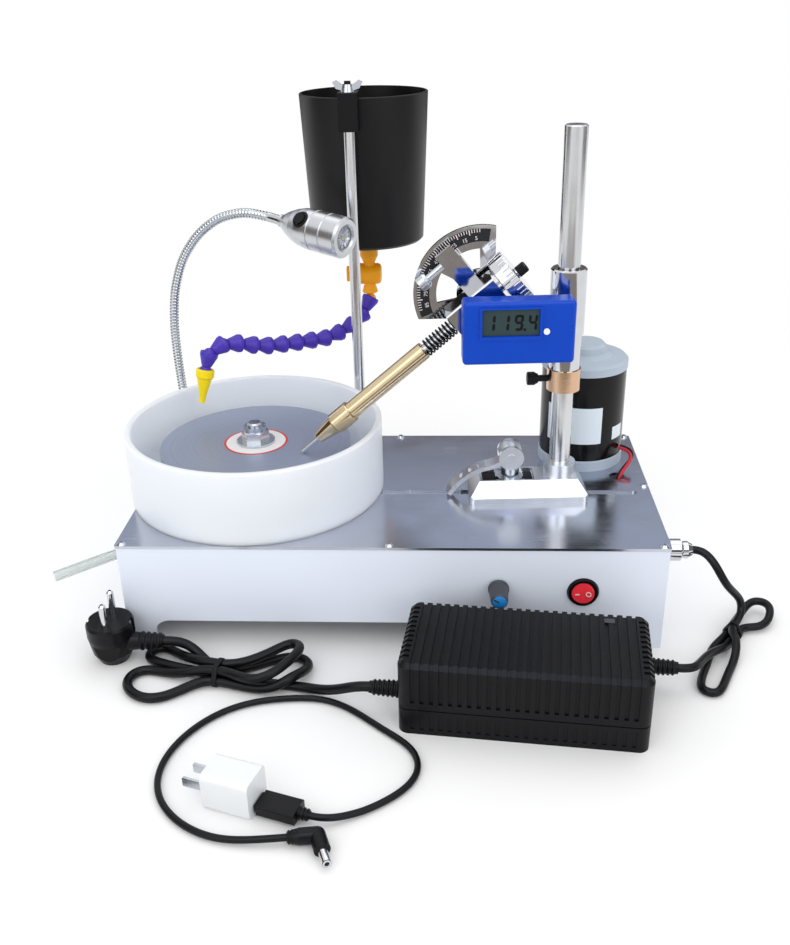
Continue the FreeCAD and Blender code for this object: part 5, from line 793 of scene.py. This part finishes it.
class FACET_OT_base(bpy.types.Operator):
    """Finish the base, its plate and the drive, with the motor's labels and the strips under the slot"""

    bl_idname = "facet.base"
    bl_label = "Base and drive"

    def execute(self, context):
        finish("acrylic_panel", "front_panel", "base_panels")
        finish("plate", "top_plate")
        finish("zinc", "plate_screws", "spindle_bearings")
        finish("platen", "spindle_housing", "spindle", "motor_shaft")
        finish("rubber", "drive_belt")
        finish("enamel", "motor_can")
        finish("cap", "motor_end_caps")
        labels = []
        for first, last, low, high in ((-150.0, -68.0, 109.0, 140.0), (-50.0, -27.0, 110.0, 121.0)):
            turn = np.radians(np.linspace(first, last, MOTOR_LABEL_STEPS))
            wall = np.array((MOTOR_LABEL_IN, MOTOR_LABEL_OUT, MOTOR_LABEL_OUT, MOTOR_LABEL_IN))
            radius = wall[:, None] * np.ones(MOTOR_LABEL_STEPS)
            radius[:, (0, -1)] = MOTOR_LABEL_IN
            level = np.array((low, low, high, high))[:, None] * np.ones(MOTOR_LABEL_STEPS)
            grid = np.stack([MOTOR[0] + radius * np.cos(turn), MOTOR[1] + radius * np.sin(turn), level], -1)
            labels.append((grid * MM, True, False))
        piece("motor_labels", labels, "label", "base")
        strips = [plate_of(strip(first, last, 9.0, 0.6, CLAMP[1]), 82.55, 82.95) * MM
                  for first, last in ((-24.0, 52.0), (150.0, 193.0))]
        piece("slot_strips", strips, "plate", "base")
        return {"FINISHED"}


KNOB_MARK_LEAN = math.radians(60.0)
ROCKER_LEAN = math.radians(-8.0)
ROCKER_R = 30.0
ROCKER_CURVE_Y = -131.5


class FACET_OT_controls(bpy.types.Operator):
    """Finish the switch and the speed knob, with the rocker's marks and the knob's blue cap"""

    bl_idname = "facet.controls"
    bl_label = "Controls"

    def execute(self, context):
        finish("black", "switch_body")
        finish("rocker", "switch_rocker")
        finish("board", "speed_control")
        finish("knob", "speed_knob")
        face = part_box("speed_knob")[0].y / MM
        profile = [(0.0, -0.3), (5.0, -0.3), (5.0, 0.2), (4.6, 0.45), (0.0, 0.6)]
        cap = lathe(profile, (KNOB[0], face, KNOB[1]), (0.0, -1.0, 0.0), 40) * MM
        piece("knob_cap", [cap], "knob_cap", "knob")
        line = plate_of(rounded_outline(0.9, 4.2, 0.3), 0.3, 0.75)
        x, z = turned(line[..., 0], line[..., 1] + 2.6, KNOB_MARK_LEAN, KNOB)
        pointer = np.stack([x, face - line[..., 2], z], -1) * MM
        piece("knob_pointer", [pointer], "dark_mark", "knob")
        turn = full_turn(32)
        circle = np.column_stack([np.cos(turn), np.sin(turn)])
        off_mark = frame_ring(2.0 * circle + (4.0, 0.4), 1.4 * circle + (4.0, 0.4), -0.1, 0.12)
        on_mark = plate_of(rounded_outline(3.2, 0.8, 0.2) + (-4.0, -0.4), -0.1, 0.12)
        grids = []
        for mark, is_ring in ((off_mark, True), (on_mark, False)):
            x, z, out = mark[..., 0], mark[..., 1], mark[..., 2]
            y = ROCKER_CURVE_Y + np.sqrt(ROCKER_R ** 2 - x * x) - out - SWITCH[1]
            x, y = turned(x, y, ROCKER_LEAN, SWITCH)
            grids.append((np.stack([x, y, SWITCH[2] + z], -1) * MM, is_ring, True))
        piece("rocker_marks", grids, "mark", "rocker")
        return {"FINISHED"}


HOSE_START = np.array((-163.0, -60.0, 75.5))
HOSE_END = np.array((-250.0, -94.0, 56.0))
HOSE_R = 4.0
HOSE_BORE_R = 2.85
LAP_LABEL_HOLE_R = 14.0
LAP_LABEL_T = 0.16


class FACET_OT_lap(bpy.types.Operator):
    """Finish the bowl, its clear drain hose, the lap, its label and its nut"""

    bl_idname = "facet.lap"
    bl_label = "Bowl and lap"

    def execute(self, context):
        finish("pipe", "splash_bowl")
        finish("lap", "lap_disc")
        finish("platen", "lap_platen")
        finish("zinc", "lap_fasteners")
        edge = context.scene.machine_sizes.label / MM
        profile = [(LAP_LABEL_HOLE_R, 0.0), (edge, 0.0), (edge, LAP_LABEL_T),
                   (LAP_LABEL_HOLE_R, LAP_LABEL_T)]
        label = lathe(profile, LAP, Z_WAY, 96) * MM
        piece("lap_label", [(label, True, True)], "lap_label", "lap")
        way = unit(HOSE_END - HOSE_START)
        rise = (0.0, 0.0, 0.25)
        route = [HOSE_START + 5.8 * way, HOSE_START + 40.0 * way, HOSE_START + 62.0 * way + rise, HOSE_END]
        path = spline_points(route)
        outside, inside = [tube_along(path, radius * MM, 28) for radius in (HOSE_R, HOSE_BORE_R)]
        wall = np.concatenate([outside, inside[::-1]])
        hose = piece("drain_tube", [(wall, True, True)], "vinyl", "base")
        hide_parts("drain_hose")
        return {"FINISHED"}


class FACET_OT_mast(bpy.types.Operator):
    """Finish the carriage, its cam lever, the mast and the stop collar, and lay dark sheets in the carriage's
    pocket as painted shade
    """

    bl_idname = "facet.mast"
    bl_label = "Mast"

    def execute(self, context):
        finish("cast", "mast_carriage", "cam_lever")
        finish("zinc", "clamp_bolt")
        finish("ground", "mast_post")
        finish("collar", "stop_collar")
        finish("rubber", "collar_screw")
        # Thin black rubber sheets in the carriage's pocket: painted shade, standing in for the shadow inside
        # the hollow casting.
        shade_sheets = [on_carriage(plate_of(strip(first, last, 19.8, 1.0, 0.0), 97.7, 98.05))
                  for first, last in ((-21.6, -10.8), (10.8, 17.6))]
        piece("pocket_liners", shade_sheets, "rubber", "carriage", False)
        return {"FINISHED"}


SEGMENTS = {"1": "bc", "4": "bcfg", "9": "abcdfg"}
# The digits and how far each stands from the display's left edge, in millimetres.
READING = (("1", 2.4), ("1", 12.2), ("9", 21.8), ("4", 31.4))
DISPLAY_LEFT = -26.9
DISPLAY_MIDDLE = -7.15
DIGIT_FOOT = 230.1
DIGIT_LEAN = 0.07
DIGIT_DEPTHS = (-40.3, -40.0)
BAND_IN = 38.2
BAND_OUT = 47.4
TICK_OUT = 47.2
NUMERAL_R = 40.6


def segment(kind, width, height, thick):
    """One bar of a seven-bar digit, about its place in a digit whose lower left corner is at 0, 0."""
    half = 0.5 * height
    gap = 0.16 * thick
    is_upright = kind in "bcef"
    long = (half if is_upright else width) - 2.0 * gap - (0.0 if is_upright else 0.6 * thick)
    a = 0.5 * long
    b = 0.5 * thick
    bar = np.array(((-a, 0.0), (-a + b, -b), (a - b, -b), (a, 0.0), (a - b, b), (-a + b, b)))
    if is_upright:
        bar = bar[:, ::-1] * (-1.0, 1.0)
    places = {"a": (0.5 * width, height - b), "b": (width - b, 1.5 * half), "c": (width - b, 0.5 * half),
              "d": (0.5 * width, b), "e": (b, 0.5 * half), "f": (b, 1.5 * half), "g": (0.5 * width, half)}
    return bar + places[kind]


def quadrant_angle(degree):
    """The angle of a mark: from near upright, 0.6 degrees of turn for each half unit of the scale."""
    return math.radians(90.0 + 0.6 * degree - 0.6)


def display_digits(high):
    """The bars of the reading and its point, for digits that are so many millimetres high."""
    wide = 0.54 * high
    thick = 0.155 * high
    bars = []
    for sign, left in READING:
        for kind in SEGMENTS[sign]:
            bar = segment(kind, wide, high, thick)
            shift = np.column_stack([DIGIT_LEAN * bar[:, 1] + left + DISPLAY_LEFT,
                                     np.full(len(bar), DIGIT_FOOT)])
            bars.append(bar + shift)
    bars.append(rounded_outline(thick, thick, 0.3) + (29.4 + DISPLAY_LEFT, 230.8))
    return [upright(plate_of(bar, *DIGIT_DEPTHS)) for bar in bars]


def quadrant_band():
    """The dark band behind the quadrant's marks, in short straight steps."""
    band = []
    for step in range(30):
        a, b = math.radians(82.0 + 4.0 * step), math.radians(85.98 + 4.0 * step)
        patch = np.array([polar(BAND_IN, a), polar(BAND_OUT, a), polar(BAND_OUT, b), polar(BAND_IN, b)])
        band.append(upright(plate_of(patch + PIVOT, 20.9, 21.1)))
    return band


def quadrant_ticks():
    """The quadrant's marks, with a longer and wider one at every tenth."""
    ticks = []
    for degree in range(4, 180, 4):
        inside, half = (43.4, 0.34) if degree % 20 == 0 else (44.8, 0.26)
        direction = polar(1.0, quadrant_angle(degree))
        aside = half * np.array((-direction[1], direction[0]))
        bar = np.array([inside * direction - aside, TICK_OUT * direction - aside,
                        TICK_OUT * direction + aside, inside * direction + aside]) + PIVOT
        ticks.append(upright(plate_of(bar, 20.75, 21.0)))
    return ticks


def quadrant_numerals(height):
    """One mesh of the quadrant's numerals, each turned to face out from the pivot."""
    shell = bmesh.new()
    for degree in range(10, 171, 20):
        a = quadrant_angle(degree)
        text = bpy.data.curves.new("numeral", "FONT")
        text.body = str(degree // 2)
        text.size = height * 1.35
        text.align_x = "CENTER"
        text.align_y = "CENTER"
        holder = bpy.data.objects.new("numeral", text)
        mesh = bpy.data.meshes.new_from_object(holder)
        co = np.zeros(3 * len(mesh.vertices))
        mesh.vertices.foreach_get("co", co)
        flat = co.reshape(-1, 3) / MM
        u, z = turned(flat[:, 0], flat[:, 1], a - 0.5 * math.pi, polar(NUMERAL_R, a) + PIVOT)
        points = on_carriage(np.column_stack([u, np.full(len(u), 20.8), z]))
        mesh.vertices.foreach_set("co", points.astype(np.float32).ravel())
        shell.from_mesh(mesh)
        bpy.data.meshes.remove(mesh)
        bpy.data.objects.remove(holder)
        bpy.data.curves.remove(text)
    joined = bpy.data.meshes.new("quadrant_numerals")
    shell.to_mesh(joined)
    shell.free()
    return joined


class FACET_OT_head(bpy.types.Operator):
    """Finish the head and the quadrant, and draw the display's digits and the degree marks"""

    bl_idname = "facet.head"
    bl_label = "Head and display"

    def execute(self, context):
        sizes = context.scene.machine_sizes
        finish("chrome", "head_sleeve", "quadrant", "pivot_block")
        finish("display", "angle_display")
        finish("white", "display_button")
        finish("zinc", "lock_screw")
        cell = plate_of(rounded_outline(39.3, 18.8, 0.2) + (DISPLAY_MIDDLE, 236.0), -40.1, -39.7)
        piece("display_cell", [upright(cell)], "glass", "head", False)
        outer = rounded_outline(43.6, 23.4, 1.4) + (DISPLAY_MIDDLE, 235.4)
        inner = rounded_outline(39.7, 19.2, 0.3) + (DISPLAY_MIDDLE, 236.0)
        ring = upright(frame_ring(outer, inner, -40.6, -41.9))
        piece("display_lip", [(ring, True, True)], "display", "head", False)
        piece("display_digits", display_digits(sizes.digit / MM), "segment", "head", False)
        piece("quadrant_band", quadrant_band(), "dark_mark", "head", False)
        piece("quadrant_ticks", quadrant_ticks(), "mark", "head", False)
        made = placed("quadrant_numerals", quadrant_numerals(sizes.numeral), "mark", "head")
        return {"FINISHED"}


class FACET_OT_arm(bpy.types.Operator):
    """Finish the quill with its brass handle, its spring, the dop stick and the index wheel"""

    bl_idname = "facet.arm"
    bl_label = "Arm"

    def execute(self, context):
        finish("tool_steel", "quill_shaft", "dop_stick")
        finish("spring", "quill_spring")
        finish("brass", "brass_handle")
        finish("chrome", "index_wheel")
        profile = [(0.0, -39.1), (3.2, -39.1), (4.1, -38.3), (4.1, -31.6), (3.4, -31.2)]
        grip = on_arm(lathe(profile, (0.0, 0.0, 0.0), X_WAY, 72, 18, 0.35))
        piece("index_grip", [grip], "rubber", "quill")
        return {"FINISHED"}


class FACET_OT_water(bpy.types.Operator):
    """Finish the tank, its rod and clip, the valve and the ball-jointed hose"""

    bl_idname = "facet.water"
    bl_label = "Water feed"

    def execute(self, context):
        finish("tank", "water_tank")
        finish("black", "tank_clip")
        finish("zinc", "wing_nut")
        finish("ground", "tank_rod")
        finish("valve", "tank_valve", "valve_handle")
        finish("hose", "hose_links")
        finish("nozzle", "hose_nozzle")
        return {"FINISHED"}


BUTTON_ALONG = 29.0
OPTIC_BACK = 59.05
OPTIC_IN = 1.9
OPTIC_OUT = 8.4


class FACET_OT_lamp(bpy.types.Operator):
    """Finish the lamp and its gooseneck, with the ring round its button and the optic behind its lens"""

    bl_idname = "facet.lamp"
    bl_label = "Lamp"

    def execute(self, context):
        finish("neck", "lamp_gooseneck")
        finish("satin", "lamp_head")
        finish("lens", "lamp_lens")
        finish("rubber", "lamp_button")
        way = unit(LAMP_FRONT - LAMP_BACK)
        square = np.cross(way, LAMP_UP)
        turn = full_turn(48)
        rows = []
        for radius, rise in ((4.8, -0.4), (6.8, -0.4), (6.8, 0.3), (6.2, 0.8), (5.2, 0.8), (4.8, 0.4)):
            along, across = BUTTON_ALONG + radius * np.cos(turn), radius * np.sin(turn)
            girth = np.interp(along, (17.0, 24.0, 31.0, 40.0), (12.4, 14.57, 15.5, 15.5))
            up = np.sqrt(girth ** 2 - across ** 2) + rise
            rows.append(LAMP_BACK + along[:, None] * way + across[:, None] * square + up[:, None] * LAMP_UP)
        piece("lamp_button_ring", [(np.stack(rows) * MM, True, True)], "rubber", "lamp_head")
        share = np.linspace(0.0, 1.0, 10)[:, None]
        turn = full_turn(96)[None, :]
        radius = np.concatenate([OPTIC_IN + (OPTIC_OUT - OPTIC_IN) * share, [[OPTIC_OUT], [OPTIC_IN]]])
        radius = radius * np.ones_like(turn)
        depth = 59.2 + 1.8 * share ** 1.5 + 0.4 * share * np.abs(np.sin(6.0 * turn))
        depth = np.concatenate([depth, np.full((2, 96), OPTIC_BACK)])
        cup = (LAMP_BACK + depth[..., None] * way + (radius * np.cos(turn))[..., None] * square
               + (radius * np.sin(turn))[..., None] * LAMP_UP)
        piece("lamp_optic", [(cup * MM, True, True)], "chrome", "lamp_head")
        profile = [(0.0, OPTIC_BACK), (1.8, OPTIC_BACK), (1.8, 59.6), (1.2, 60.3), (0.0, 60.6)]
        chip = lathe(profile, LAMP_BACK, way, 24) * MM
        piece("lamp_chip", [chip], "phosphor", "lamp_head")
        return {"FINISHED"}


# Stage

AIM = (0.0, 0.0, 0.1)
# The camera that was fitted to the photograph: its turns in degrees and its place in metres.
PITCH, YAW, ROLL = (math.radians(a) for a in (25.8626, -3.4610, -1.4559))
EYE = (43.466 * MM, -723.151 * MM, 447.853 * MM)
LENS = 38.51
WHITE = (1.0, 1.0, 1.0, 1.0)


def flat_mesh(name, corners):
    """A sheet with four corners beside or under the part, and its mesh."""
    mesh = bpy.data.meshes.new(name)
    mesh.from_pydata(corners, [], [(0, 1, 2, 3)])
    made = bpy.data.objects.new(name, mesh)
    bpy.context.scene.collection.objects.link(made)
    return made, mesh


def card(name, corners, code, glow=0.0):
    """A board beside the set, seen only in reflections. With a glow it is a soft window."""
    made, mesh = flat_mesh(name, corners)
    material, tree, place = begin("board_" + name)
    colour = opaque(linear(code))
    surface(tree, {"Base Color": colour, "Roughness": 0.9, "Emission Color": colour,
                   "Emission Strength": glow})
    mesh.materials.append(material)
    made.visible_camera = False
    made.visible_diffuse = False
    made.visible_shadow = False


def facing(right, up, way, place):
    """The matrix of a light or a camera that looks along a way."""
    rows = np.column_stack([right, up, np.negative(way), place])
    return Matrix(np.vstack([rows, (0.0, 0.0, 0.0, 1.0)]).tolist())


def lamp_box(name, place, side, power):
    """A square soft light that faces the machine."""
    light = bpy.data.lights.new(name, "AREA")
    light.size = side
    light.energy = power
    made = bpy.data.objects.new(name, light)
    bpy.context.scene.collection.objects.link(made)
    way, across, up = frame_of(np.subtract(AIM, place))
    made.matrix_world = facing(across, up, way, place)


def seen_rays(tree):
    """One for rays that see the background: straight, in a reflection or through glass."""
    rays = add(tree, "ShaderNodeLightPath").outputs
    near = {0: rays["Is Camera Ray"], 1: rays["Is Glossy Ray"]}
    seen = add(tree, "ShaderNodeMath", near, operation="MAXIMUM").outputs[0]
    either = {0: seen, 1: rays["Is Transmission Ray"]}
    return add(tree, "ShaderNodeMath", either, operation="MAXIMUM").outputs[0]


def lay_floor(half):
    """A white floor that fades into the white background away from the machine."""
    corners = [(-half, -half, 0.0), (half, -half, 0.0), (half, half, 0.0), (-half, half, 0.0)]
    floor, mesh = flat_mesh("floor", corners)
    material, tree, place = begin("paper_backdrop_white")
    matt = {"Base Color": (0.93, 0.93, 0.93, 1.0), "Roughness": 1.0, "Specular IOR Level": 0.0}
    paper = add(tree, "ShaderNodeBsdfPrincipled", matt)
    away = add(tree, "ShaderNodeVectorMath", {0: place}, operation="LENGTH").outputs["Value"]
    far = add(tree, "ShaderNodeMapRange", {"Value": away, 1: 0.3, 2: 1.0}, interpolation_type="SMOOTHSTEP")
    faded = add(tree, "ShaderNodeMath", {0: far.outputs[0], 1: seen_rays(tree)},
                operation="MULTIPLY").outputs[0]
    bright = add(tree, "ShaderNodeEmission", {"Color": WHITE, "Strength": 1.0})
    both = add(tree, "ShaderNodeMixShader", {0: faded, 1: paper.outputs["BSDF"], 2: bright.outputs[0]})
    add(tree, "ShaderNodeOutputMaterial", {"Surface": both.outputs[0]})
    mesh.materials.append(material)


def set_camera(scene):
    """The camera of the photograph."""
    ahead = np.array((math.sin(YAW), math.cos(YAW), 0.0))
    level_right = np.array((math.cos(YAW), -math.sin(YAW), 0.0))
    top = np.array(Z_WAY)
    forward = math.cos(PITCH) * ahead - math.sin(PITCH) * top
    level_up = math.cos(PITCH) * top + math.sin(PITCH) * ahead
    right = math.cos(ROLL) * level_right + math.sin(ROLL) * level_up
    up = -math.sin(ROLL) * level_right + math.cos(ROLL) * level_up
    data = bpy.data.cameras.new("camera")
    data.sensor_width = 36.0
    data.lens = LENS
    data.clip_start = 0.02
    data.clip_end = 200.0
    camera = bpy.data.objects.new("camera", data)
    scene.collection.objects.link(camera)
    camera.matrix_world = facing(right, up, forward, EYE)
    scene.camera = camera


class FACET_OT_stage(bpy.types.Operator):
    """Set the floor, the boards, the light, the world and the camera"""

    bl_idname = "facet.stage"
    bl_label = "Stage"

    def execute(self, context):
        scene = context.scene
        lay_floor(0.5 * scene.machine_sizes.floor)
        card("back_board", [(-2.6, 2.2, 0.02), (2.6, 2.2, 0.02), (2.6, 2.2, 1.1), (-2.6, 2.2, 1.1)],
             "6a605e")
        card("sky_board", [(-2.6, 2.2, 1.1), (2.6, 2.2, 1.1), (2.6, 2.2, 2.0), (-2.6, 2.2, 2.0)], "b4bdd0")
        card("left_board", [(-1.9, -1.2, 0.02), (-1.9, 0.6, 0.02), (-1.9, 0.6, 1.3), (-1.9, -1.2, 1.3)],
             "46392f")
        card("right_board", [(1.9, 0.8, 0.02), (1.9, -1.0, 0.02), (1.9, -1.0, 1.1), (1.9, 0.8, 1.1)],
             "6c676c")
        card("front_board", [(0.9, -2.4, 0.3), (-0.2, -2.4, 0.3), (-0.2, -2.4, 1.3), (0.9, -2.4, 1.3)],
             "2e2e33")
        low = 0.003
        card("table_board", [(-0.6, -1.3, low), (0.8, -1.3, low), (0.8, -0.43, low), (-0.6, -0.43, low)],
             "80776f")
        card("window", [(-0.9, -1.5, 2.0), (0.9, -1.5, 2.0), (0.9, -0.8, 2.2), (-0.9, -0.8, 2.2)], "c4d4f4",
             4.5)
        lamp_box("key_light", (-0.8, -1.5, 1.3), 1.4, 6.3)
        lamp_box("fill_light", (1.1, -1.4, 1.0), 1.2, 5.0)
        lamp_box("top_light", (0.1, 0.5, 1.9), 1.6, 5.5)
        world = bpy.data.worlds.new("studio")
        scene.world = world
        world.use_nodes = True
        tree = world.node_tree
        tree.nodes.clear()
        level = add(tree, "ShaderNodeMapRange", {"Value": seen_rays(tree), 3: 0.92, 4: 1.0}).outputs[0]
        light = add(tree, "ShaderNodeBackground", {"Color": WHITE, "Strength": level})
        add(tree, "ShaderNodeOutputWorld", {"Surface": light.outputs[0]})
        set_camera(scene)
        scene.view_settings.view_transform = "Standard"
        return {"FINISHED"}


class FACET_PT_machine(bpy.types.Panel):
    """The machine's pieces and their looks"""

    bl_idname = "FACET_PT_machine"
    bl_label = "Faceting machine"
    bl_space_type = "VIEW_3D"
    bl_region_type = "UI"
    bl_category = "Facet"

    def draw(self, context):
        for group in (context.scene.machine_colours, context.scene.machine_sizes):
            column = self.layout.column()
            for key in group.bl_rna.properties.keys():
                if key not in ("rna_type", "name"):
                    column.prop(group, key)
        for operator in OPERATORS:
            self.layout.operator(operator.bl_idname)


# In the order in which they run.
OPERATORS = (FACET_OT_stage, FACET_OT_leads, FACET_OT_supply, FACET_OT_base, FACET_OT_controls,
             FACET_OT_lap, FACET_OT_mast, FACET_OT_head, FACET_OT_arm, FACET_OT_water, FACET_OT_lamp)


def register():
    """Registers the classes and hangs the two groups of values on the scene."""
    for kind in (MachineColours, MachineSizes, *OPERATORS, FACET_PT_machine):
        bpy.utils.register_class(kind)
    bpy.types.Scene.machine_colours = bpy.props.PointerProperty(type=MachineColours)
    bpy.types.Scene.machine_sizes = bpy.props.PointerProperty(type=MachineSizes)


def unregister():
    """Takes back what register() did, in the opposite order."""
    del bpy.types.Scene.machine_sizes
    del bpy.types.Scene.machine_colours
    for kind in (FACET_PT_machine, *reversed(OPERATORS), MachineSizes, MachineColours):
        bpy.utils.unregister_class(kind)


def main():
    """Runs the operators in order."""
    register()
    bpy.ops.facet.stage()
    bpy.ops.facet.leads()
    bpy.ops.facet.supply()
    bpy.ops.facet.base()
    bpy.ops.facet.controls()
    bpy.ops.facet.lap()
    bpy.ops.facet.mast()
    bpy.ops.facet.head()
    bpy.ops.facet.arm()
    bpy.ops.facet.water()
    bpy.ops.facet.lamp()


if __name__ == "__main__":
    main()
